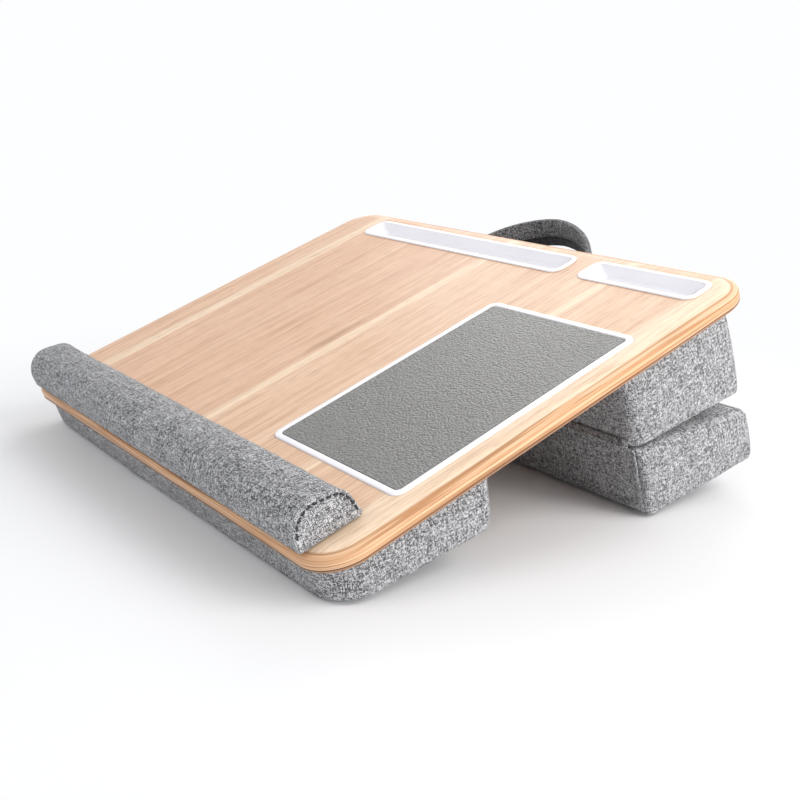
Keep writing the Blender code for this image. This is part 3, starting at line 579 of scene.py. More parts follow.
@dataclass(frozen=True)
class Pebbled(Finish):
    """Pebbled imitation leather."""

    colour: Sequence[float] = (0.215, 0.213, 0.204)
    crease_shade: Sequence[float] = (0.150, 0.148, 0.141)

    def dress(self, tree: Tree, shader: bpy.types.Node) -> None:
        """Pebbles of two sizes with painted shade in the creases between them."""
        place = tree.add("ShaderNodeTexCoord").outputs["Object"]
        bent = tree.add("ShaderNodeTexNoise", {"Vector": place, "Scale": 220.0, "Detail": 2.0}).outputs[1]
        inputs = {0: bent, 1: (0.0022,) * 3, 2: place}
        moved = tree.add("ShaderNodeVectorMath", inputs, operation="MULTIPLY_ADD")
        cells = []
        for scale in (500.0, 1000.0):
            inputs = {"Vector": moved.outputs[0], "Scale": scale, "Smoothness": 0.35}
            cells.append(tree.add("ShaderNodeTexVoronoi", inputs, feature="SMOOTH_F1").outputs["Distance"])
        height = tree.math("MULTIPLY_ADD", cells[1], 0.4, cells[0])
        # The creases are painted darker: painted shade where the pebbles meet.
        colour = tree.mix(tree.spread(height, 0.55, 0.95), (*self.colour, 1.0), (*self.crease_shade, 1.0))
        marks = HANDLING.place(tree, {"Place": place, "Scale": 9.0}).outputs
        rough = tree.math("MULTIPLY_ADD", marks["Cloud"], 0.06, 0.34)
        inputs = {"Strength": 0.85, "Distance": 0.0009, "Height": height}
        bump = tree.add("ShaderNodeBump", inputs, invert=True)
        tree.feed(shader, {"Base Color": colour, "Roughness": rough, "Normal": bump.outputs[0]})


@dataclass(frozen=True)
class Pile(Finish):
    """Hook or loop tape: a dense short pile."""

    colour: Sequence[float] = (0.025, 0.025, 0.028)

    def dress(self, tree: Tree, shader: bpy.types.Node) -> None:
        """Rows of small tufts, painted lighter on top and darker between them as painted light and shade."""
        place = tree.add("ShaderNodeTexCoord").outputs["Object"]
        inputs = {"Vector": place, "Scale": 1300.0}
        tufts = tree.add("ShaderNodeTexVoronoi", inputs, feature="F1").outputs["Distance"]
        # Tuft tops are painted lighter and the gaps between them darker: painted light and shade over the tufts.
        light = tuple(3.2 * value for value in self.colour)
        colour = tree.mix(tree.spread(tufts, 0.7, 0.1), (*self.colour, 1.0), (*light, 1.0))
        marks = HANDLING.place(tree, {"Place": place, "Scale": 40.0}).outputs
        rough = tree.math("MULTIPLY_ADD", marks["Cloud"], 0.1, 0.85)
        inputs = {"Strength": 0.7, "Distance": 0.0006, "Height": tufts}
        bump = tree.add("ShaderNodeBump", inputs, invert=True)
        tree.feed(shader, {"Base Color": colour, "Roughness": rough, "Normal": bump.outputs[0]})


@dataclass(frozen=True)
class Thread(Finish):
    """Twisted sewing thread."""

    colour: Sequence[float] = (0.02, 0.02, 0.022)

    def dress(self, tree: Tree, shader: bpy.types.Node) -> None:
        """A fine twist along the thread."""
        place = tree.add("ShaderNodeTexCoord").outputs["Object"]
        twist = tree.noise(tree.stretched(place, (2600.0, 2600.0, 2600.0)), 1.0, 1.0)
        light = tuple(2.4 * value for value in self.colour)
        colour = tree.mix(tree.spread(twist, 0.4, 0.6), (*self.colour, 1.0), (*light, 1.0))
        tree.feed(shader, {"Base Color": colour, "Roughness": 0.7})


TAN = (0.83, 0.570, 0.400)
ROSE = (0.82, 0.550, 0.385)
CREAM = (0.95, 0.760, 0.570)
PALE = (0.85, 0.605, 0.430)

WOOD = StripWood(
    "wood_strips",
    Slot.WOOD,
    strips=(
        Strip(0.0480, TAN),
        Strip(0.0645, CREAM),
        Strip(0.1480, ROSE),
        Strip(0.1555, PALE),
        Strip(0.2290, ROSE),
        Strip(0.2730, TAN),
        Strip(0.2850, CREAM),
        Strip(0.4340, PALE),
        Strip(0.4460, CREAM),
        Strip(0.5270, PALE),
        Strip(0.5600, CREAM),
    ),
)
GLOSS_WHITE = Moulding("gloss_white", Slot.WHITE)
LEATHER = Pebbled("pebbled_leather", Slot.LEATHER)
PLATE = Moulding("plate_black", Slot.PLATE, (0.10, 0.10, 0.10), 0.6)
LINEN = Cloth("grey_linen", Slot.GREY)
HANDLE_LINEN = Cloth(
    "handle_linen",
    Slot.DARK,
    dark=(0.025, 0.025, 0.028),
    middle=(0.13, 0.132, 0.138),
    light=(0.42, 0.425, 0.44),
    threads=1400.0,
)
WEBBING = Cloth(
    "handle_webbing",
    Slot.DARK,
    dark=(0.008, 0.008, 0.009),
    middle=(0.02, 0.02, 0.022),
    light=(0.06, 0.06, 0.065),
    threads=900.0,
    fleck=2.0,
)
PILE = Pile("tape_pile", Slot.DARK)
BLACK_THREAD = Thread("black_thread", Slot.DARK)
GREY_THREAD = Thread("grey_thread", Slot.GREY, (0.10, 0.10, 0.105))
SHEET = Moulding("adhesive_liner", Slot.ADHESIVE, (0.75, 0.75, 0.72), 0.5)


# Mesh work


def between(start: float, end: float, share: float) -> float:
    """The value a share of the way from start to end."""
    return start + (end - start) * share


def linked(name: str, data: bpy.types.ID) -> bpy.types.Object:
    """A new object in the scene."""
    made = bpy.data.objects.new(name, data)
    bpy.context.scene.collection.objects.link(made)
    return made


def piece(
    name: str,
    mesh: bmesh.types.BMesh,
    finish: Finish,
    body: Body,
    stands_for: Sequence[str] = (),
    place: Matrix | None = None,
    smooth: float = 40.0,
) -> bpy.types.Object:
    """Turns a mesh into a piece that rides on a body.

    Args:
        name: The piece's name.
        mesh: Its mesh, which is freed.
        finish: Its material.
        body: The body that it rides on.
        stands_for: CAD nodes that it replaces.
        place: Its frame, the desk frame if None.
        smooth: Edges sharper than this angle, in degrees, stay sharp.

    Returns:
        The object.
    """
    data = bpy.data.meshes.new(name)
    bmesh.ops.recalc_face_normals(mesh, faces=mesh.faces)
    mesh.to_mesh(data)
    mesh.free()
    data.shade_smooth()
    data.set_sharp_from_angle(angle=math.radians(smooth))
    made = linked(name, data)
    made.data.materials.append(finish.material())
    made.matrix_world = STANCE.desk if place is None else place
    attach(made, body.value)
    if stands_for:
        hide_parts(*stands_for)
    LOG.info("%s: %d faces, rides on %s", name, len(data.polygons), body.value)
    return made


def baked(made: bpy.types.Object) -> bpy.types.Object:
    """Applies an object's modifiers to its mesh."""
    bpy.context.view_layer.update()
    graph = bpy.context.evaluated_depsgraph_get()
    data = bpy.data.meshes.new_from_object(made.evaluated_get(graph), depsgraph=graph)
    made.modifiers.clear()
    made.data = data
    return made


def refined(made: bpy.types.Object) -> bpy.types.Object:
    """Subdivides a piece once, when its mesh is final."""
    modifier = made.modifiers.new("refine", "SUBSURF")
    modifier.levels = 1
    modifier.render_levels = 1
    return baked(made)


def outline(
    left: float,
    right: float,
    front: float,
    rear: float,
    front_corner: float,
    rear_corner: float,
    steps: int,
    across: int = 0,
    along: int = 0,
) -> Outline:
    """A rounded rectangle, anticlockwise seen from above.

    Args:
        left: Its left side.
        right: Its right side.
        front: Its front side.
        rear: Its rear side.
        front_corner: Radius of its two front corners.
        rear_corner: Radius of its two rear corners.
        steps: Steps round each corner.
        across: Points between the corners along the front and along the rear.
        along: Points between the corners along each side.

    Returns:
        Points as x, y and the outward normal.
    """
    corners = (
        (left + front_corner, front + front_corner, front_corner, math.pi, across),
        (right - front_corner, front + front_corner, front_corner, 1.5 * math.pi, along),
        (right - rear_corner, rear - rear_corner, rear_corner, 0.0, across),
        (left + rear_corner, rear - rear_corner, rear_corner, 0.5 * math.pi, along),
    )
    runs = []
    for x, y, radius, start, extra in corners:
        run = []
        for step in range(steps + 1):
            angle = start + 0.5 * math.pi * step / steps
            normal = (math.cos(angle), math.sin(angle))
            run.append((x + radius * normal[0], y + radius * normal[1], normal))
        runs.append((run, extra))
    points: Outline = []
    for at, (run, extra) in enumerate(runs):
        points += run
        last = run[-1]
        after = runs[(at + 1) % 4][0][0]
        for step in range(1, extra + 1):
            share = step / (extra + 1)
            points.append((between(last[0], after[0], share), between(last[1], after[1], share), last[2]))
    return points


def ring(
    width: float,
    depth: float,
    corner: float,
    height: float,
    inset: float = 0.0,
    steps: int = 10,
    least: float = 0.0008,
) -> Loop:
    """A rounded rectangle about the origin at a height, drawn in by an inset.

    Args:
        width: Its width.
        depth: Its depth.
        corner: Its corner radius before the inset.
        height: Its height.
        inset: How far it is drawn in.
        steps: Steps round each corner.
        least: The least corner radius.

    Returns:
        Its points.
    """
    half_width = width / 2 - inset
    half_depth = depth / 2 - inset
    radius = max(corner - inset, least)
    flat = outline(-half_width, half_width, -half_depth, half_depth, radius, radius, steps)
    return [(x, y, height) for x, y, _ in flat]


def skin(loops: Sequence[Sequence[Any]], first: bool = True, last: bool = True) -> bmesh.types.BMesh:
    """A mesh over closed loops of equal length.

    Args:
        loops: The loops.
        first: Whether the first loop is capped.
        last: Whether the last loop is capped.

    Returns:
        The mesh.
    """
    mesh = bmesh.new()
    rows = [[mesh.verts.new(point) for point in loop] for loop in loops]
    for upper, lower in zip(rows, rows[1:]):
        for at in range(len(upper)):
            after = (at + 1) % len(upper)
            mesh.faces.new((upper[at], lower[at], lower[after], upper[after]))
    if first:
        mesh.faces.new(rows[0])
    if last:
        mesh.faces.new(list(reversed(rows[-1])))
    return mesh


def hoop(loops: Sequence[Sequence[Any]]) -> bmesh.types.BMesh:
    """A mesh over closed loops of equal length, the last joined to the first."""
    mesh = bmesh.new()
    rows = [[mesh.verts.new(point) for point in loop] for loop in loops]
    for upper, lower in zip(rows, rows[1:] + rows[:1]):
        for at in range(len(upper)):
            after = (at + 1) % len(upper)
            mesh.faces.new((upper[at], lower[at], lower[after], upper[after]))
    return mesh


def arc(start: float, end: float, steps: int) -> list[float]:
    """Angles from start to end, both included."""
    return [between(start, end, step / steps) for step in range(steps + 1)]


def stitches(
    name: str,
    path: Sequence[Vector],
    normals: Sequence[Vector],
    thread: Finish,
    body: Body,
    place: Matrix | None = None,
    length: float = 0.0026,
    gap: float = 0.0014,
    radius: float = 0.00035,
) -> bpy.types.Object:
    """Sewn dashes along a path, each arched into the cloth at both ends.

    Args:
        name: The piece's name.
        path: Points of the seam.
        normals: The cloth's normal at each point.
        thread: The thread's finish.
        body: The body that it rides on.
        place: Its frame, the desk frame if None.
        length: Length of one dash.
        gap: Gap between dashes.
        radius: Radius of the thread.

    Returns:
        The object.
    """
    reach = [0.0]
    for before, after in zip(path, path[1:]):
        reach.append(reach[-1] + (after - before).length)

    def at(distance: float) -> tuple[Vector, Vector]:
        """The point and the normal at a distance along the path."""
        for index in range(len(reach) - 1):
            if distance <= reach[index + 1] or index == len(reach) - 2:
                share = (distance - reach[index]) / max(reach[index + 1] - reach[index], 1e-9)
                normal = normals[index].lerp(normals[index + 1], share)
                return path[index].lerp(path[index + 1], share), normal
        return path[-1], normals[-1]

    mesh = bmesh.new()
    count = max(1, int(reach[-1] / (length + gap)))
    for dash in range(count):
        start = dash * (length + gap)
        rows = []
        for step in range(5):
            share = step / 4
            point, normal = at(start + length * share)
            normal = normal.normalized()
            near, _ = at(start + length * min(share + 0.1, 1.0) + 1e-5)
            far, _ = at(start + length * max(share - 0.1, 0.0))
            along = (near - far).normalized()
            side = along.cross(normal).normalized()
            lift = math.sin(math.pi * share)
            centre = point + normal * radius * (1.7 * lift - 0.9)
            turns = arc(0, 5 * math.pi / 3, 5)
            rows.append([centre + (side * math.cos(a) + normal * math.sin(a)) * radius for a in turns])
        cells = [[mesh.verts.new(p) for p in row] for row in rows]
        for near_row, far_row in zip(cells, cells[1:]):
            for index in range(6):
                after = (index + 1) % 6
                mesh.faces.new((near_row[index], far_row[index], far_row[after], near_row[after]))
        mesh.faces.new(cells[0])
        mesh.faces.new(list(reversed(cells[-1])))
    return piece(name, mesh, thread, body, place=place, smooth=80.0)


def tube(path: Sequence[Vector], radius: float, sides: int = 8) -> bmesh.types.BMesh:
    """A round cord of fabric along a closed path, such as a rolled seam.

    Args:
        path: Its centreline.
        radius: Its radius.
        sides: Sides of its section.

    Returns:
        The mesh.
    """
    loops = []
    turns = arc(0, 2 * math.pi, sides)[:-1]
    up = None
    for at, point in enumerate(path):
        along = (path[(at + 1) % len(path)] - path[at - 1]).normalized()
        if up is None:
            up = along.orthogonal().normalized()
        side = along.cross(up).normalized()
        up = side.cross(along).normalized()
        loops.append([point + (side * math.cos(a) + up * math.sin(a)) * radius for a in turns])
    return hoop(loops)


# Cushions


@dataclass(frozen=True)
class Edges:
    """Radii that a wedge's top or bottom edges are rounded to."""

    front: float
    side: float
    rear: float

    def at(self, normal: tuple[float, float]) -> float:
        """The radius where the outline faces along a normal."""
        across, back = normal
        end = self.rear if back > 0 else self.front
        return self.side * across**2 + end * back**2


@dataclass(frozen=True)
class Wedge:
    """A foam wedge in its sewn cover, with y back from its front face and z up from what carries it."""

    width: float
    front_top: float
    front_bottom: float
    rear_top: float
    rear_bottom: float
    top_height: float
    top_slope: float
    bottom_height: float
    bottom_slope: float
    front_corner: float
    rear_corner: float
    top_edges: Edges
    bottom_edges: Edges
    swell: float
    front_crown: float
    rear_crown: float
    least_corner: float = 0.0016
    corner_steps: int = 7
    edge_steps: int = 5
    across: int = 78
    along: int = 22

    def top(self, back: float) -> float:
        """Height of the top face at a distance back."""
        return self.top_height - back * math.tan(self.top_slope)

    def bottom(self, back: float) -> float:
        """Height of the bottom face at a distance back, without its crown."""
        return self.bottom_height - back * math.tan(self.bottom_slope)

    def ring(self, share: float, edges: Edges, turn: float = 0.0, face: float = 0.0) -> list[Vector]:
        """A level ring, a share of the way from the top face to the bottom face.

        Args:
            share: 0 at the top face and 1 at the bottom face.
            edges: Radii of the edge that the ring is on.
            turn: How far round that edge the ring has come from the sides.
            face: Its share of the way over the face to its middle.

        Returns:
            Its points.
        """
        inward = 1.0 - math.cos(turn)
        middle = (self.rear_bottom - self.front_bottom) / 2
        front_in = between(edges.front * inward, middle, face)
        rear_in = between(edges.rear * inward, middle, face)
        side_in = between(edges.side * inward, middle, face)
        half = self.width / 2 + self.swell * math.sin(math.pi * share) - side_in
        front = between(self.front_top, self.front_bottom, share) + front_in
        rear = between(self.rear_top, self.rear_bottom, share) - rear_in
        front_corner = max(self.front_corner - front_in, self.least_corner)
        rear_corner = max(self.rear_corner - rear_in, self.least_corner)
        points = []
        flat = outline(
            -half, half, front, rear, front_corner, rear_corner, self.corner_steps, self.across, self.along
        )
        for x, y, normal in flat:
            back = min(max((y - front) / max(rear - front, 1e-6), 0.0), 1.0)
            lift = edges.at(normal) * (1.0 - math.sin(turn)) * (2.0 * share - 1.0)
            arch = max(0.0, 1.0 - (2.0 * x / self.width) ** 2)
            crown = between(self.front_crown, self.rear_crown, back) * arch * share
            height = between(self.top(y), self.bottom(y), share)
            points.append(Vector((x, y, height + lift - crown)))
        return points

    def rings(self) -> list[list[Vector]]:
        """All rings, from inside the top face over its edge and down the sides to the bottom face."""
        flat = Edges(0.0, 0.0, 0.0)
        faces = (0.86, 0.70, 0.52, 0.36, 0.22, 0.12, 0.05)
        loops = [self.ring(0.0, self.top_edges, QUARTER, face) for face in faces]
        for step in range(self.edge_steps + 1):
            loops.append(self.ring(0.0, self.top_edges, QUARTER * (1.0 - step / self.edge_steps)))
        tall = abs(self.bottom(self.rear_top)) > 0.04
        for share in (0.10, 0.20, 0.32, 0.44, 0.56, 0.68, 0.80, 0.90) if tall else (0.2, 0.4, 0.6):
            loops.append(self.ring(share, flat))
        for step in range(self.edge_steps + 1):
            loops.append(self.ring(1.0, self.bottom_edges, QUARTER * step / self.edge_steps))
        loops += [self.ring(1.0, self.bottom_edges, QUARTER, face) for face in reversed(faces)]
        return loops

    def mesh(self) -> bmesh.types.BMesh:
        """The closed wedge, its two faces closed by strips between their front and rear runs."""
        loops = self.rings()
        made = skin(loops, False, False)
        made.verts.ensure_lookup_table()
        count = len(loops[0])
        steps = self.corner_steps + 1
        run = 2 * steps + self.across
        for start, down in ((0, False), (len(made.verts) - count, True)):
            row = made.verts[start : start + count]
            front = row[:run]
            rear = list(reversed(row[run + self.along : run + self.along + run]))
            right = row[run - 1 : run + self.along + 1]
            left = row[2 * run + self.along - 1 :] + [row[0]]
            faces = [(front[at], front[at + 1], rear[at + 1], rear[at]) for at in range(run - 1)]
            faces += [tuple(right), tuple(left)]
            for face in faces:
                made.faces.new(tuple(reversed(face)) if down else face)
        return made


@dataclass(frozen=True)
class Stuffing:
    """How a sewn cover is blown out by its foam."""

    pressure: float = 4.0
    cap: float = 0.0022
    start: float = 0.0010
    frames: int = 20

    def fill(self, made: bpy.types.Object, held: Callable[[Vector], float]) -> bpy.types.Object:
        """Swells a cover with a short cloth simulation, and keeps every point near its place.

        Args:
            made: The cover.
            held: How firmly a point is held, from 0 to 1.

        Returns:
            The same object, with the swollen mesh.
        """
        rest = [vertex.co.copy() for vertex in made.data.vertices]
        normals = [vertex.normal.copy() for vertex in made.data.vertices]
        group = made.vertex_groups.new(name="held")
        for vertex, co, normal in zip(made.data.vertices, rest, normals):
            share = held(co)
            group.add([vertex.index], share, "REPLACE")
            vertex.co = co - normal * self.start * (1.0 - share)
        modifier = made.modifiers.new("stuffing", "CLOTH")
        settings = modifier.settings
        settings.use_pressure = True
        settings.uniform_pressure_force = self.pressure
        settings.effector_weights.gravity = 0.0
        settings.quality = 4
        settings.mass = 0.3
        settings.tension_stiffness = 30.0
        settings.compression_stiffness = 30.0
        settings.shear_stiffness = 8.0
        settings.bending_stiffness = 4.0
        settings.vertex_group_mass = "held"
        settings.pin_stiffness = 1.0
        modifier.collision_settings.use_collision = False
        modifier.collision_settings.use_self_collision = False
        scene = bpy.context.scene
        for number in range(1, self.frames + 1):
            scene.frame_set(number)
        graph = bpy.context.evaluated_depsgraph_get()
        swollen = [vertex.co.copy() for vertex in made.evaluated_get(graph).data.vertices]
        made.modifiers.clear()
        made.vertex_groups.clear()
        for vertex, co, moved in zip(made.data.vertices, rest, swollen):
            step = moved - co
            if step.length > self.cap:
                step = step.normalized() * self.cap
            vertex.co = co + step
        scene.frame_set(1)
        made.data.update()
        return made


def rumple(
    made: bpy.types.Object,
    depth: float,
    size: float,
    seed: float,
    held: Callable[[Vector], float],
) -> None:
    """Moves a cover's points in and out a little, as handled cloth lies.

    Args:
        made: The cover.
        depth: Most that a point moves.
        size: Length of a fold.
        seed: Where in the noise it starts.
        held: How firmly a point is held, from 0 to 1.
    """
    normals = [vertex.normal.copy() for vertex in made.data.vertices]
    for vertex, normal in zip(made.data.vertices, normals):
        spot = vertex.co / size + Vector((seed, seed * 0.7, seed * 1.3))
        move = noise.noise(spot) * 0.7 + noise.noise(spot * 2.3) * 0.3
        vertex.co += normal * depth * move * (1.0 - held(vertex.co))
    made.data.update()


@dataclass
class Board:
    """The strip-wood top, with its softened shoulder, banded edge, pad recess and tray cut-outs."""

    width: float = 0.560
    depth: float = 0.435
    thickness: float = BOARD_THICKNESS
    corner: float = 0.034
    shoulder: float = 0.014
    drop: float = 0.0030
    lip: float = 0.0025
    chamfer: float = 0.0020
    recess: tuple[float, float, float, float, float] = (0.1727, 0.1987, 0.1726, 0.2436, 0.0093)
    recess_depth: float = 0.0020
    holes: tuple[tuple[float, float, float], ...] = ((-0.058, 0.310, 0.0277), (0.189, 0.128, 0.0277))
    hole_back: float = 0.4007
    hole_corner: float = 0.008

    def loop(self, inset: float, height: float) -> Loop:
        """The board's outline, drawn in by an inset, at a height."""
        half = self.width / 2 - inset
        radius = self.corner - inset
        flat = outline(-half, half, inset, self.depth - inset, radius, radius, 18)
        return [(x, y, height) for x, y, _ in flat]

    def body(self) -> bmesh.types.BMesh:
        """The uncut board."""
        loops = [self.loop(self.shoulder + 0.002, 0.0)]
        for share in arc(0.0, 1.0, 9):
            loops.append(self.loop(between(self.shoulder, self.lip, share), -self.drop * share**2))
        for angle in arc(0.0, QUARTER, 6)[1:]:
            inset = self.lip * (1.0 - math.sin(angle))
            loops.append(self.loop(inset, -self.drop - self.lip * (1.0 - math.cos(angle))))
        foot = self.chamfer
        loops.append(self.loop(0.0, foot - self.thickness + 0.0002))
        loops.append(self.loop(0.0001, foot - self.thickness))
        loops.append(self.loop(foot, -self.thickness))
        return skin(loops)

    def cut(self, made: bpy.types.Object, mesh: bmesh.types.BMesh, place: Point) -> bpy.types.Object:
        """Cuts a shape out of the board.

        Args:
            made: The board.
            mesh: The shape, which is freed.
            place: Where it is in the desk frame.

        Returns:
            The board.
        """
        data = bpy.data.meshes.new("board_cut")
        mesh.to_mesh(data)
        mesh.free()
        tool = linked("board_cut", data)
        tool.matrix_world = STANCE.desk @ Matrix.Translation(place)
        modifier = made.modifiers.new("cut", "BOOLEAN")
        modifier.operation = "DIFFERENCE"
        modifier.solver = "EXACT"
        modifier.object = tool
        baked(made)
        bpy.data.objects.remove(tool)
        return made

    def build(self) -> bpy.types.Object:
        """The board, cut and finished."""
        made = piece("board_top", self.body(), WOOD, Body.DESK, ("board",), smooth=35.0)
        right, back, width, depth, corner = self.recess
        loops = [ring(width, depth, corner, height) for height in (0.002, -self.recess_depth)]
        self.cut(made, skin(loops), (right, back, 0.0))
        for right, width, depth in self.holes:
            heights = (0.002, -self.thickness - 0.002)
            loops = [ring(width, depth, self.hole_corner, height) for height in heights]
            self.cut(made, skin(loops), (right, self.hole_back, 0.0))
        made.data.shade_smooth()
        made.data.set_sharp_from_angle(angle=math.radians(35))
        return made


@dataclass
class MousePad:
    """The pebbled sheet on its plate, in a glossy white frame let into the board."""

    right: float = 0.1727
    back: float = 0.1987
    width: float = 0.160
    depth: float = 0.231
    corner: float = 0.004
    frame_width: float = 0.006
    frame_corner: float = 0.009
    proud: float = 0.0012
    rounding: float = 0.0014
    seat: float = -0.0017

    def frame_ring(self) -> bmesh.types.BMesh:
        """The frame: a flat-topped bead with rounded edges."""
        outer_width = self.width + 2 * self.frame_width
        outer_depth = self.depth + 2 * self.frame_width
        crest = self.proud - self.rounding
        loops = [ring(self.width, self.depth, self.corner, self.seat, 0.0, 12)]
        for angle in arc(0.0, QUARTER, 6):
            inset = -self.rounding * (1.0 - math.cos(angle))
            height = crest + self.rounding * math.sin(angle)
            loops.append(ring(self.width, self.depth, self.corner, height, inset, 12))
        for angle in arc(QUARTER, 0.0, 6):
            inset = self.rounding * (1.0 - math.cos(angle))
            height = crest + self.rounding * math.sin(angle)
            loops.append(ring(outer_width, outer_depth, self.frame_corner, height, inset, 12))
        loops.append(ring(outer_width, outer_depth, self.frame_corner, self.seat, 0.0, 12))
        return hoop(loops)

    def build(self) -> None:
        """Builds the frame and dresses the sheet and its plate."""
        place = STANCE.desk @ Matrix.Translation((self.right, self.back, 0.0))
        piece("pad_frame", self.frame_ring(), GLOSS_WHITE, Body.DESK, ("mouse_pad_frame",), place)
        dress_node("mouse_pad", LEATHER)
        dress_node("mouse_pad_backing", PLATE)


def dress_node(name: str, finish: Finish) -> None:
    """Gives a CAD node that stays a procedural material."""
    node = frame["nodes"][name]
    node.data.materials.clear()
    node.data.materials.append(finish.material())
    LOG.info("%s keeps its solid and takes %s", name, finish.name)


@dataclass
class Tray:
    """A moulded tray with a rolled rim and a well with sloping ends."""

    name: str
    right: float
    width: float
    back: float = 0.4007
    depth: float = 0.0337
    corner: float = 0.011
    rim_width: float = 0.0045
    rim: float = 0.0012
    wall: float = 0.0012
    well: float = 0.0095
    end_slope: float = 0.013
    side_slope: float = 0.0045
    fillet: float = 0.0032

    def loop(self, inset: float, height: float, end: float = 0.0) -> Loop:
        """The tray's outline drawn in, with its ends drawn in further."""
        return ring(self.width - 2 * end, self.depth, self.corner, height, inset, 12)

    def build(self) -> None:
        """Builds the tray from its floor over the rim and down its outside."""
        top = SEAT_GAP + self.rim
        floor = self.wall - self.well
        ends = self.end_slope - self.side_slope
        foot = self.rim_width + self.side_slope
        loops = [self.loop(foot + self.fillet + 0.0012, floor, ends)]
        for angle in arc(0.0, 0.42 * math.pi, 5):
            inset = foot + self.fillet * (1.0 - math.sin(angle))
            height = floor + self.fillet * (1.0 - math.cos(angle)) * 0.8
            loops.append(self.loop(inset - 0.0004, height, ends * 0.96))
        bend = floor + self.fillet * 0.6
        for share in (0.35, 0.65, 0.9):
            inset = between(foot - 0.0002, self.rim_width, share)
            height = between(bend, top - self.rim, share)
            loops.append(self.loop(inset, height, ends * (1 - share) * 0.9))
        for angle in arc(0.0, QUARTER, 5):
            inset = self.rim_width - self.rim * (1.0 - math.cos(angle))
            loops.append(self.loop(inset, top - self.rim * (1.0 - math.sin(angle))))
        for angle in arc(QUARTER, 0.0, 5):
            inset = self.rim * (1.0 - math.cos(angle))
            loops.append(self.loop(inset, top - self.rim * (1.0 - math.sin(angle))))
        outer = self.rim_width - self.wall
        loops.append(self.loop(outer, SEAT_GAP))
        loops.append(self.loop(outer, -self.wall))
        loops.append(self.loop(foot - self.wall / 2, -self.well, ends))
        place = STANCE.desk @ Matrix.Translation((self.right, self.back, 0.0))
        piece(self.name + "_moulding", skin(loops), GLOSS_WHITE, Body.DESK, (self.name,), place, smooth=50.0)


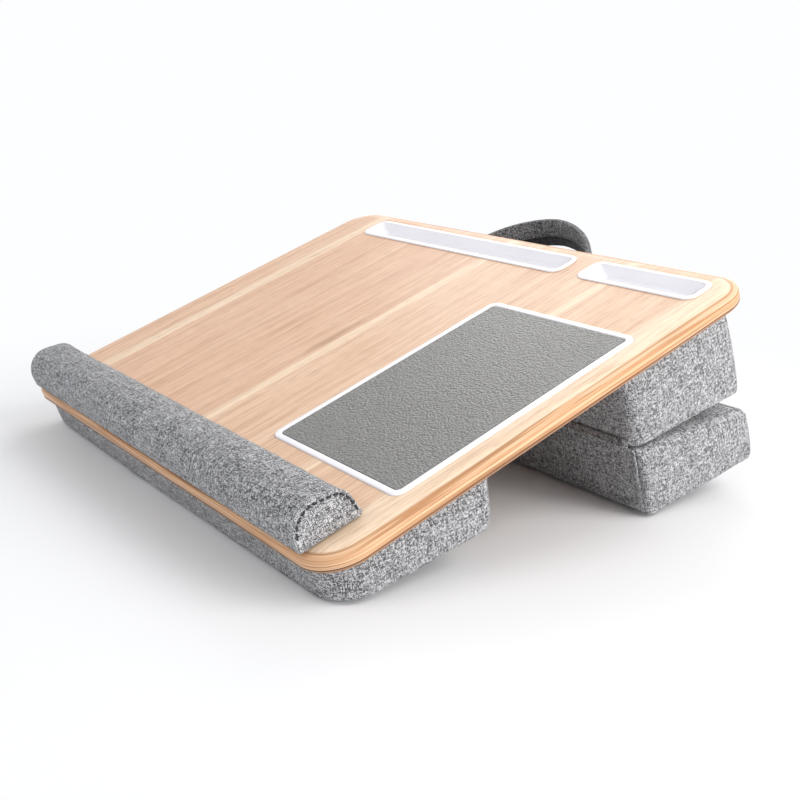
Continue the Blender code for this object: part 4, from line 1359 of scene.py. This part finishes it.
@dataclass
class WristRest:
    """The padded rest: a sewn sleeve over a D-shaped foam, with stitched end panels."""

    length: float = 0.509
    front: float = -0.001
    depth: float = 0.0550
    front_lean: float = 0.0012
    rear_lean: float = 0.0075
    front_height: float = 0.0346
    rear_height: float = 0.0275
    front_rounding: float = 0.019
    rear_rounding: float = 0.015
    foot_rounding: float = 0.0025
    crown: float = 0.0022
    end_rounding: float = 0.0018
    base: float = 0.0012
    welt: float = 0.0005
    steps: int = 9

    def section(self) -> list[Vector]:
        """The closed D-shaped section in (y, z), from the rear foot over the top to the front foot."""
        corners = (
            (self.depth, self.base, self.foot_rounding),
            (self.depth - self.rear_lean, self.rear_height, self.rear_rounding),
            (-self.front_lean, self.front_height, self.front_rounding),
            (0.0, self.base, self.foot_rounding),
        )
        arcs = []
        for at, (y, z, radius) in enumerate(corners):
            here = Vector((y, z))
            before = (Vector(corners[at - 1][:2]) - here).normalized()
            after = (Vector(corners[(at + 1) % 4][:2]) - here).normalized()
            half = before.angle(after) / 2
            centre = here + (before + after).normalized() * radius / math.sin(half)
            start = here + before * radius / math.tan(half) - centre
            sense = -math.copysign(1.0, before.cross(after))
            turns = arc(0.0, sense * (math.pi - 2 * half), self.steps)
            arcs.append([centre + Matrix.Rotation(turn, 2) @ start for turn in turns])
        path = []
        for at, run in enumerate(arcs):
            path += run
            after = arcs[(at + 1) % 4][0]
            extra = 3 if at == 3 else 7
            path += [run[-1].lerp(after, step / (extra + 1)) for step in range(1, extra + 1)]
        middle = self.depth / 2
        lifted = []
        for point in path:
            share = max(0.0, 1.0 - ((point.x - middle) / middle) ** 2)
            lifted.append(Vector((point.x, point.y + self.crown * share * point.y / self.front_height)))
        return lifted

    def station(self, section: Sequence[Vector], right: float, inset: float) -> list[Vector]:
        """The section at a distance to the right, drawn in towards its own middle."""
        middle = Vector((self.depth / 2, self.rear_height / 2))
        scale = (1.0 - inset / (self.depth / 2), 1.0 - inset / (self.front_height / 2))
        points = []
        for point in section:
            off = point - middle
            points.append(Vector((right, middle.x + off.x * scale[0], middle.y + off.y * scale[1])))
        return points

    def held(self, co: Vector) -> float:
        """How firmly a point of the sleeve is held: at its foot and at its sewn ends."""
        foot = max(0.0, 1.0 - (co.z - self.base) / 0.003)
        end = max(0.0, 1.0 - (self.length / 2 - abs(co.x)) / 0.006)
        return min(1.0, max(foot, end))

    def sleeve(self, place: Matrix) -> bpy.types.Object:
        """The sleeve, rounded over at its ends."""
        section = self.section()
        half = self.length / 2
        places = []
        for angle in arc(0.0, QUARTER, 5):
            out = half - self.end_rounding * (1.0 - math.sin(angle))
            places.append((out, self.end_rounding * (1.0 - math.cos(angle))))
        places.reverse()
        inward = [(half - self.end_rounding - step * 0.0052, 0.0) for step in range(1, 96)]
        spots = [(half - 0.0012, self.end_rounding + 0.0022)] + places + [s for s in inward if s[0] > 0.003]
        mirrored = [(-right, inset) for right, inset in reversed(spots)]
        loops = [self.station(section, *spot) for spot in spots + [(0.0, 0.0)] + mirrored]
        nodes = ("wrist_rest_cover", "wrist_rest_foam")
        made = piece("wrist_rest_sleeve", skin(loops), LINEN, Body.DESK, nodes, place)
        Stuffing(cap=0.0012, start=0.0006, pressure=3.0).fill(made, self.held)
        rumple(made, 0.0005, 0.035, 3.0, self.held)
        refined(made)
        return made

    def end(self, side: float, name: str, place: Matrix) -> None:
        """One end panel, domed, with the sleeve's rolled seam and a run of stitches round it.

        Args:
            side: -1 for the left and 1 for the right.
            name: left or right.
            place: The rest's frame.
        """
        section = self.section()
        half = self.length / 2
        rim = self.end_rounding + 0.0004
        spots = ((0.0, -0.0010), (0.0, 0.0), (0.0018, 0.0006), (0.0060, 0.0012), (0.0110, 0.0018))
        loops = [self.station(section, side * (half + out - 0.0006), rim + inset) for inset, out in spots]
        mesh = skin(loops, False, False)
        mesh.verts.ensure_lookup_table()
        count = len(section)
        mesh.faces.new(mesh.verts[-count:])
        mesh.faces.new(list(reversed(mesh.verts[:count])))
        made = piece("wrist_rest_panel_" + name, mesh, LINEN, Body.DESK, ("wrist_rest_end_" + name,), place)
        roll = self.station(section, side * (half - 0.0003), self.end_rounding + 0.0002)
        piece("wrist_rest_welt_" + name, tube(roll, self.welt), LINEN, Body.DESK, (), place)
        line = self.station(section, side * (half + 0.0007), self.end_rounding + 0.0014)
        line = line[self.steps + 1 : -self.steps - 4]
        normals = [Vector((side, 0.0, 0.0))] * len(line)
        dash = (0.0036, 0.0018, 0.0007)
        stitches("wrist_rest_stitches_" + name, line, normals, BLACK_THREAD, Body.DESK, place, *dash)

    def build(self) -> None:
        """Builds the sleeve and both ends and dresses the base sheet."""
        place = STANCE.desk @ Matrix.Translation((0.0, self.front, 0.0))
        self.sleeve(place)
        for name, side in SIDES:
            self.end(side, name, place)
        dress_node("wrist_rest_base", SHEET)


@dataclass
class FrontPad:
    """The thin cushion under the board's front edge, flat where it rests."""

    front: float = 0.0035
    floor: float = 0.0002
    wedge: Wedge = Wedge(
        width=0.540,
        front_top=0.0,
        front_bottom=0.0,
        rear_top=0.1459,
        rear_bottom=0.1353,
        top_height=-SEAT_GAP,
        top_slope=0.0,
        bottom_height=-0.0325,
        bottom_slope=math.radians(6.2),
        front_corner=0.032,
        rear_corner=0.006,
        top_edges=Edges(0.0030, 0.0030, 0.0030),
        bottom_edges=Edges(0.012, 0.0040, 0.010),
        swell=0.0020,
        front_crown=0.0015,
        rear_crown=0.0015,
    )

    def level(self) -> Matrix:
        """The turn from the wedge's frame to one that lies along its base."""
        return Matrix.Rotation(-self.wedge.bottom_slope, 4, "X")

    def held(self, co: Vector) -> float:
        """How firmly a point is held: at the top face, which is sewn to the board."""
        return min(1.0, max(0.0, 1.0 + (self.level() @ co).z / 0.003))

    def build(self) -> bpy.types.Object:
        """Builds, stuffs and rumples the cushion."""
        place = STANCE.desk @ Matrix.Translation((0.0, self.front, -BOARD_THICKNESS)) @ self.level()
        nodes = ("front_pad_cover", "front_pad_foam")
        mesh = self.wedge.mesh()
        bmesh.ops.transform(mesh, matrix=self.level().inverted(), verts=mesh.verts)
        made = piece("front_pad", mesh, LINEN, Body.DESK, nodes, place, smooth=60.0)
        Stuffing(cap=0.0010, start=0.0010).fill(made, self.held)
        rumple(made, 0.0007, 0.040, 9.0, self.held)
        refined(made)
        flatten(made, self.floor)
        return made


def flatten(made: bpy.types.Object, floor: float) -> None:
    """Keeps a cushion's points at or above a height over the floor.

    Args:
        made: The cushion.
        floor: That height.
    """
    into = made.matrix_world.inverted()
    for vertex in made.data.vertices:
        spot = made.matrix_world @ vertex.co
        if spot.z < floor:
            spot.z = floor
            vertex.co = into @ spot
    made.data.update()


@dataclass
class UpperWedge:
    """The fixed wedge under the board's rear."""

    wedge: Wedge = Wedge(
        width=0.540,
        front_top=0.0008,
        front_bottom=0.0008,
        rear_top=0.1253,
        rear_bottom=0.1253,
        top_height=-SEAT_GAP,
        top_slope=0.0,
        bottom_height=-FOLD_HEIGHT,
        bottom_slope=math.radians(6.6),
        front_corner=0.012,
        rear_corner=0.007,
        top_edges=Edges(0.0030, 0.0030, 0.0030),
        bottom_edges=Edges(0.0035, 0.0040, 0.012),
        swell=0.0020,
        front_crown=0.0,
        rear_crown=0.0,
    )

    def held(self, co: Vector) -> float:
        """How firmly a point is held: at the board and along the fold line."""
        top = 1.0 + co.z / 0.003
        fold = 1.0 - math.hypot(co.y, co.z + FOLD_HEIGHT) / 0.010
        return min(1.0, max(0.0, top, fold))

    def build(self) -> bpy.types.Object:
        """Builds, stuffs and rumples the cushion."""
        place = STANCE.desk @ Matrix.Translation((0.0, FOLD_BACK, -BOARD_THICKNESS))
        nodes = ("riser_upper_cover", "riser_upper_foam")
        made = piece("riser_upper", self.wedge.mesh(), LINEN, Body.DESK, nodes, place, smooth=60.0)
        Stuffing(cap=0.0010, start=0.0010).fill(made, self.held)
        rumple(made, 0.0006, 0.045, 17.0, self.held)
        refined(made)
        return made


@dataclass
class LowerWedge:
    """The wedge that folds, with the hemmed panel over its front face."""

    lean: float = 0.0043
    floor: float = 0.0010
    panel_thickness: float = 0.0011
    hem_thickness: float = 0.0016
    hem: float = 0.006
    side_margin: float = 0.0055
    top_margin: float = 0.0005
    bottom_margin: float = 0.0065
    wedge: Wedge = Wedge(
        width=0.540,
        front_top=0.0027,
        front_bottom=0.0070,
        rear_top=0.1325,
        rear_bottom=0.1369,
        top_height=-0.0016,
        top_slope=math.radians(5.8),
        bottom_height=-0.0648,
        bottom_slope=0.0,
        front_corner=0.006,
        rear_corner=0.007,
        top_edges=Edges(0.003, 0.007, 0.008),
        bottom_edges=Edges(0.005, 0.0040, 0.014),
        swell=0.0020,
        front_crown=0.0012,
        rear_crown=0.0006,
    )

    def held(self, co: Vector) -> float:
        """How firmly a point is held: behind the front panel."""
        front = 1.0 - (co.y - self.wedge.front_bottom) / 0.004
        return min(1.0, max(0.0, front))

    def cushion(self) -> bpy.types.Object:
        """Builds, stuffs and rumples the cushion."""
        nodes = ("riser_lower_cover", "riser_lower_foam", "riser_lower_top_panel")
        made = piece("riser_lower", self.wedge.mesh(), LINEN, Body.RISER, nodes, STANCE.fold, smooth=60.0)
        Stuffing(cap=0.0010, start=0.0010).fill(made, self.held)
        rumple(made, 0.0006, 0.045, 31.0, self.held)
        refined(made)
        flatten(made, self.floor)
        return made

    def panel(self, cushion: bpy.types.Object) -> bpy.types.Object:
        """The hemmed panel, its turned edge thicker and stitched.

        Args:
            cushion: The wedge that it lies on; not used.

        Returns:
            The panel.
        """
        wedge = self.wedge
        drop = wedge.bottom(0.0) - wedge.top(0.0)
        lean = math.atan2(self.lean, -drop)
        width = wedge.width - 2 * self.side_margin
        height = math.hypot(self.lean, drop) - self.top_margin - self.bottom_margin
        levels = [(self.hem * 2.0, self.panel_thickness), (self.hem + 0.0008, self.panel_thickness)]
        levels += [(self.hem, self.panel_thickness + 0.0001), (self.hem - 0.0010, self.hem_thickness)]
        for angle in arc(QUARTER, -QUARTER, 6):
            out = self.hem_thickness / 2
            levels.append((out * (1.0 - math.cos(angle)), out * (1.0 + math.sin(angle))))
        loops = [ring(width, height, self.hem / 2, level, inset, 4) for inset, level in levels]
        mesh = skin(loops)
        bmesh.ops.rotate(mesh, matrix=Matrix.Rotation(math.pi / 2, 3, "X"), verts=mesh.verts)
        middle = self.top_margin + height / 2
        back = wedge.front_top - SEAT_GAP + middle * math.sin(lean)
        spot = Matrix.Translation((0.0, back, wedge.top(0.0) - middle * math.cos(lean)))
        place = STANCE.fold @ spot @ Matrix.Rotation(lean, 4, "X")
        made = piece("riser_panel", mesh, LINEN, Body.RISER, ("riser_front_panel",), place)
        inset = self.hem - 0.0012
        rim = ring(width, height, self.hem / 2, 0.0, inset, 2)
        line = [Vector((x, -self.hem_thickness - 0.0001, y)) for x, y, _ in rim]
        line.append(line[0])
        normals = [Vector((0.0, -1.0, 0.0))] * len(line)
        dash = (0.0028, 0.0016, 0.0003)
        stitches("riser_panel_stitches", line, normals, GREY_THREAD, Body.RISER, place, *dash)
        return made

    def build(self) -> None:
        """Builds the wedge and its front panel."""
        self.panel(self.cushion())


@dataclass
class FoldStrip:
    """The strip of cover cloth that joins the two wedges along the fold line, with its rolled seam."""

    length: float = 0.520
    reach: float = 0.007
    radius: float = 0.0015
    wall: float = 0.0007

    def build(self) -> None:
        """Builds the strip round the fold line."""
        steps = 8
        centre = [(0.0, self.reach)]
        turns = arc(0.0, math.pi, steps)
        centre += [(-self.radius * math.sin(a), self.radius * math.cos(a)) for a in turns]
        centre.append((0.0009, -self.reach * 0.5))
        section = []
        for out in (self.wall, 0.0):
            run = [(y - out, z) for y, z in centre]
            section += run if out else list(reversed(run))
        columns = 66
        loops = []
        for column in range(columns + 1):
            x = between(-self.length / 2, self.length / 2, column / columns)
            wave = 0.00025 * noise.noise(Vector((x * 60.0, 0.0, 0.0)))
            loops.append([Vector((x, y - wave, z)) for y, z in section])
        place = STANCE.desk @ Matrix.Translation((0.0, FOLD_BACK, -BOARD_THICKNESS - FOLD_HEIGHT))
        mesh = skin(loops)
        bmesh.ops.transform(mesh, matrix=place, verts=mesh.verts)
        data = bpy.data.meshes.new("fold_strip")
        bmesh.ops.recalc_face_normals(mesh, faces=mesh.faces)
        mesh.to_mesh(data)
        mesh.free()
        data.shade_smooth()
        made = linked("fold_strip", data)
        made.data.materials.append(LINEN.material())
        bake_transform(made)
        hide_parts("fold_seam")
        LOG.info("fold_strip: %d faces, bends across the fold", len(data.polygons))


@dataclass
class Tapes:
    """Hook tapes on the folding wedge and the loop tapes under the board."""

    width: float = 0.025
    length: float = 0.070
    thickness: float = 0.0010
    corner: float = 0.003
    right: float = 0.235
    back: float = 0.085
    sink: float = 0.0008
    wedge_height: float = 0.0648

    def strip(self) -> bmesh.types.BMesh:
        """One tape with a woven selvedge, lying under z = 0."""
        levels = ((0.0, 0.0), (0.0, -0.0005), (0.0002, -0.0007))
        levels += ((0.0014, -0.0007), (0.0018, -0.0010), (0.003, -0.0010))
        size = (self.width, self.length, self.corner)
        return skin([ring(*size, level, inset, 6) for inset, level in levels])

    def build(self) -> None:
        """Builds the four tapes."""
        base = -self.wedge_height - self.sink - SEAT_GAP
        under = -BOARD_THICKNESS - SEAT_GAP
        for name, side in SIDES:
            right = side * self.right
            hook = STANCE.fold @ Matrix.Translation((right, self.back, base))
            loop = STANCE.desk @ Matrix.Translation((right, FOLD_BACK - self.back, under))
            spots = (("hook", hook, Body.RISER), ("loop", loop, Body.DESK))
            for kind, place, body in spots:
                node = f"{kind}_tape_{name}"
                piece(f"{kind}_strip_{name}", self.strip(), PILE, body, (node,), place)


@dataclass
class CarryHandle:
    """The strap loop on the rear face, with the padded sleeve over its upper edge."""

    half_span: float = 0.088
    reach: float = 0.0717
    height: float = 0.027
    thickness: float = 0.0020
    below_board: float = 0.0022
    rise: float = 0.012
    level_reach: float = 0.027
    point: float = 1.75
    bend: float = 0.005
    tab: float = 0.024
    sleeve_height: float = 0.018
    sleeve_thickness: float = 0.0014
    sleeve_angle: float = math.radians(76)
    rear: float = FOLD_BACK + 0.0008 + 0.1245 + SEAT_GAP + 0.0010
    steps: int = 72

    def plan(self) -> list[Vector]:
        """The handle's line seen square to the board, from one tab round the loop to the other."""
        half = self.half_span
        left = [Vector((-half - self.bend - self.tab * share, 0.0)) for share in (1.0, 0.75, 0.5, 0.25)]
        for angle in arc(0.0, QUARTER, 8):
            across = -half - self.bend + self.bend * math.sin(angle)
            left.append(Vector((across, self.bend * (1.0 - math.cos(angle)))))
        loop = []
        for angle in arc(0.0, math.pi, self.steps)[1:-1]:
            across = math.copysign(abs(math.cos(angle)) ** (2 / self.point), -math.cos(angle))
            far = self.bend + (self.reach - self.bend) * math.sin(angle) ** (2 / self.point)
            loop.append(Vector((half * across, far)))
        return left + loop + [Vector((-spot.x, spot.y)) for spot in reversed(left)]

    def carried(self, line: Sequence[Vector], section: Sequence[tuple[float, float]]) -> list[list[Vector]]:
        """A section carried upright along a line that rises to the loop's end.

        Args:
            line: The line in plan.
            section: Points as (across, up).

        Returns:
            One loop of points for each place on the line.
        """
        loops = []
        for at, spot in enumerate(line):
            along = (line[min(at + 1, len(line) - 1)] - line[max(at - 1, 0)]).normalized()
            out = Vector((-along.y, along.x))
            free = max(0.0, (spot.y - self.level_reach) / (self.reach - self.level_reach))
            lift = self.rise * free
            loops.append([Vector((spot.x + out.x * a, spot.y + out.y * a, lift + up)) for a, up in section])
        return loops

    def flat_section(self, thick: float, top: float, low: float) -> list[tuple[float, float]]:
        """A strap's section, upright, with rounded edges."""
        points = []
        for angle in arc(0.0, math.pi, 6):
            points.append((thick * math.cos(angle), top - thick + thick * math.sin(angle)))
        for angle in arc(math.pi, 2 * math.pi, 6):
            points.append((thick * math.cos(angle), low + thick + thick * math.sin(angle)))
        return points

    def sleeve_section(self) -> list[tuple[float, float]]:
        """The sleeve's section: a padded fold open at its lower edge."""
        inner = self.thickness / 2 + SEAT_GAP
        outer = inner + self.sleeve_thickness
        crest = SEAT_GAP + self.sleeve_thickness
        low = crest - self.sleeve_height
        points = [(-inner, low + 0.0004), (-inner, SEAT_GAP), (inner, SEAT_GAP), (inner, low + 0.0004)]
        points += [(inner + 0.0004, low), (outer - 0.0003, low + 0.0006)]
        points += [(outer, low + 0.004), (outer, low + 0.009), (outer - 0.0001, crest - 0.004)]
        round_off = 0.0016
        for angle in arc(0.0, QUARTER, 4):
            height = crest - round_off * (1.0 - math.sin(angle))
            points.append((outer - round_off * (1.0 - math.cos(angle)), height))
        mirrored = [(-across, up) for across, up in reversed(points[4:])]
        return points + mirrored

    def build(self) -> None:
        """Builds the strap, the sleeve and their seams."""
        place = STANCE.desk @ Matrix.Translation((0.0, self.rear, -BOARD_THICKNESS - self.below_board))
        line = self.plan()
        strap = skin(self.carried(line, self.flat_section(self.thickness / 2, 0.0, -self.height)))
        piece("carry_strap", strap, WEBBING, Body.DESK, ("handle_strap",), place, smooth=60.0)
        limit = self.half_span * math.sin(self.sleeve_angle)
        loop = [spot for spot in line if abs(spot.x) < limit and spot.y > self.bend]
        sleeve = skin(self.carried(loop, self.sleeve_section()))
        nodes = ("handle_sleeve",)
        made = piece("carry_sleeve", sleeve, HANDLE_LINEN, Body.DESK, nodes, place, smooth=60.0)
        outer = self.thickness / 2 + SEAT_GAP + self.sleeve_thickness
        low = SEAT_GAP + self.sleeve_thickness - self.sleeve_height + 0.0022
        for name, side in (("outside", 1.0), ("inside", -1.0)):
            path = [row[0] for row in self.carried(loop, [(side * outer, low)])]
            mids = [row[0] for row in self.carried(loop, [(0.0, low)])]
            normals = [(spot - mid).normalized() for spot, mid in zip(path, mids)]
            dash = (0.0028, 0.0018, 0.0003)
            stitches("carry_stitches_" + name, path, normals, BLACK_THREAD, Body.DESK, place, *dash)


@dataclass
class Studio:
    """Pale floor, white surround, soft lamps and the camera."""

    lens: float = 51.984
    position: Point = (0.857447, -0.229697, 0.408915)
    right: Point = (0.58178276, 0.76750499, -0.26919308)
    down: Point = (0.22799695, -0.47159512, -0.85183064)
    ahead: Point = (-0.78073441, 0.43420517, -0.44935471)
    white: Point = (0.985, 0.99, 1.0)
    paper_near: float = 0.24
    paper_far: float = 0.70
    warm: Point = (1.0, 0.97, 0.94)
    mild: Point = (1.0, 0.985, 0.97)

    @staticmethod
    def seen(tree: Tree) -> bpy.types.NodeSocket:
        """1 for rays that come straight from the camera, off gloss or through glass, and 0 for light."""
        path = tree.add("ShaderNodeLightPath").outputs
        direct = tree.math("MAXIMUM", path["Is Camera Ray"], path["Is Glossy Ray"])
        return tree.math("MAXIMUM", direct, path["Is Transmission Ray"])

    def camera(self) -> None:
        """The camera at the photograph's viewing angle, set in the desk frame."""
        data = bpy.data.cameras.new("camera")
        data.lens = self.lens
        data.sensor_width = 36.0
        data.clip_start = 0.01
        data.clip_end = 50.0
        made = linked("camera", data)
        columns = (Vector(self.right), -Vector(self.down), -Vector(self.ahead))
        turn = Matrix(columns).transposed().to_4x4()
        made.matrix_world = STANCE.desk @ Matrix.Translation(self.position) @ turn
        bpy.context.scene.camera = made

    def floor(self) -> None:
        """A wide pale floor that keeps the desk's shadow."""
        mesh = bmesh.new()
        bmesh.ops.create_grid(mesh, x_segments=8, y_segments=8, size=9.0)
        data = bpy.data.meshes.new("floor")
        mesh.to_mesh(data)
        mesh.free()
        made = linked("floor", data)
        material = bpy.data.materials.new("floor_paper")
        material.use_nodes = True
        tree = Tree(material.node_tree)
        place = tree.add("ShaderNodeTexCoord").outputs["Object"]
        tone = tree.mix(tree.noise(place, 2.0, 1.0), (0.86, 0.865, 0.88, 1.0), (0.88, 0.885, 0.895, 1.0))
        shader = material.node_tree.nodes["Principled BSDF"]
        tree.feed(shader, {"Base Color": tone, "Roughness": 0.75, "Specular IOR Level": 0.2})
        reach = tree.add("ShaderNodeVectorMath", {0: place}, operation="LENGTH").outputs["Value"]
        share = tree.math("MULTIPLY", tree.spread(reach, self.paper_near, self.paper_far), self.seen(tree))
        white = tree.add("ShaderNodeEmission", {"Color": (*self.white, 1.0), "Strength": 1.0}).outputs[0]
        mixed = tree.add("ShaderNodeMixShader", {0: share, 1: shader.outputs[0], 2: white}).outputs[0]
        tree.tree.links.new(mixed, material.node_tree.nodes["Material Output"].inputs["Surface"])
        made.data.materials.append(material)

    def surround(self) -> None:
        """White to the camera and in reflections, a soft sky for the light."""
        world = bpy.data.worlds.new("surround")
        bpy.context.scene.world = world
        world.use_nodes = True
        tree = Tree(world.node_tree)
        tree.tree.nodes.clear()
        inputs = {"Color": (0.95, 0.97, 1.0, 1.0), "Strength": 0.58}
        sky = tree.add("ShaderNodeBackground", inputs).outputs[0]
        white = tree.add("ShaderNodeBackground", {"Color": (*self.white, 1.0), "Strength": 1.0}).outputs[0]
        mixed = tree.add("ShaderNodeMixShader", {0: self.seen(tree), 1: sky, 2: white}).outputs[0]
        tree.add("ShaderNodeOutputWorld", {"Surface": mixed})

    def lamp(self, name: str, place: Point, size: float, power: float, colour: Point) -> None:
        """A square soft lamp that looks at the desk.

        Args:
            name: Its name.
            place: Where it hangs.
            size: Its side.
            power: Its power in watts.
            colour: Its colour.
        """
        data = bpy.data.lights.new(name, "AREA")
        data.shape = "SQUARE"
        data.size = size
        data.energy = power
        data.color = colour
        made = linked(name, data)
        made.location = place
        aim = Vector((0.0, 0.0, 0.05)) - Vector(place)
        made.rotation_euler = aim.to_track_quat("-Z", "Y").to_euler()

    def build(self) -> None:
        """Sets the whole studio."""
        self.camera()
        self.floor()
        self.surround()
        self.lamp("key", (1.25, 0.55, 1.15), 0.9, 13.0, self.warm)
        self.lamp("back", (-0.95, 1.0, 1.1), 1.1, 10.0, self.mild)
        self.lamp("side", (1.7, 0.32, 0.42), 0.8, 12.0, self.mild)
        self.lamp("front", (0.2, -1.5, 1.25), 0.9, 7.0, self.mild)
        bpy.context.scene.view_settings.view_transform = "Standard"


def main() -> None:
    """Builds the studio and every sub-assembly in order."""
    logging.basicConfig(level=logging.INFO, format="%(name)s: %(message)s")
    Studio().build()
    Board().build()
    MousePad().build()
    Tray("long_tray", -0.058, 0.316).build()
    Tray("short_tray", 0.189, 0.134).build()
    WristRest().build()
    FrontPad().build()
    UpperWedge().build()
    LowerWedge().build()
    FoldStrip().build()
    Tapes().build()
    CarryHandle().build()


if __name__ == "__main__":
    main()
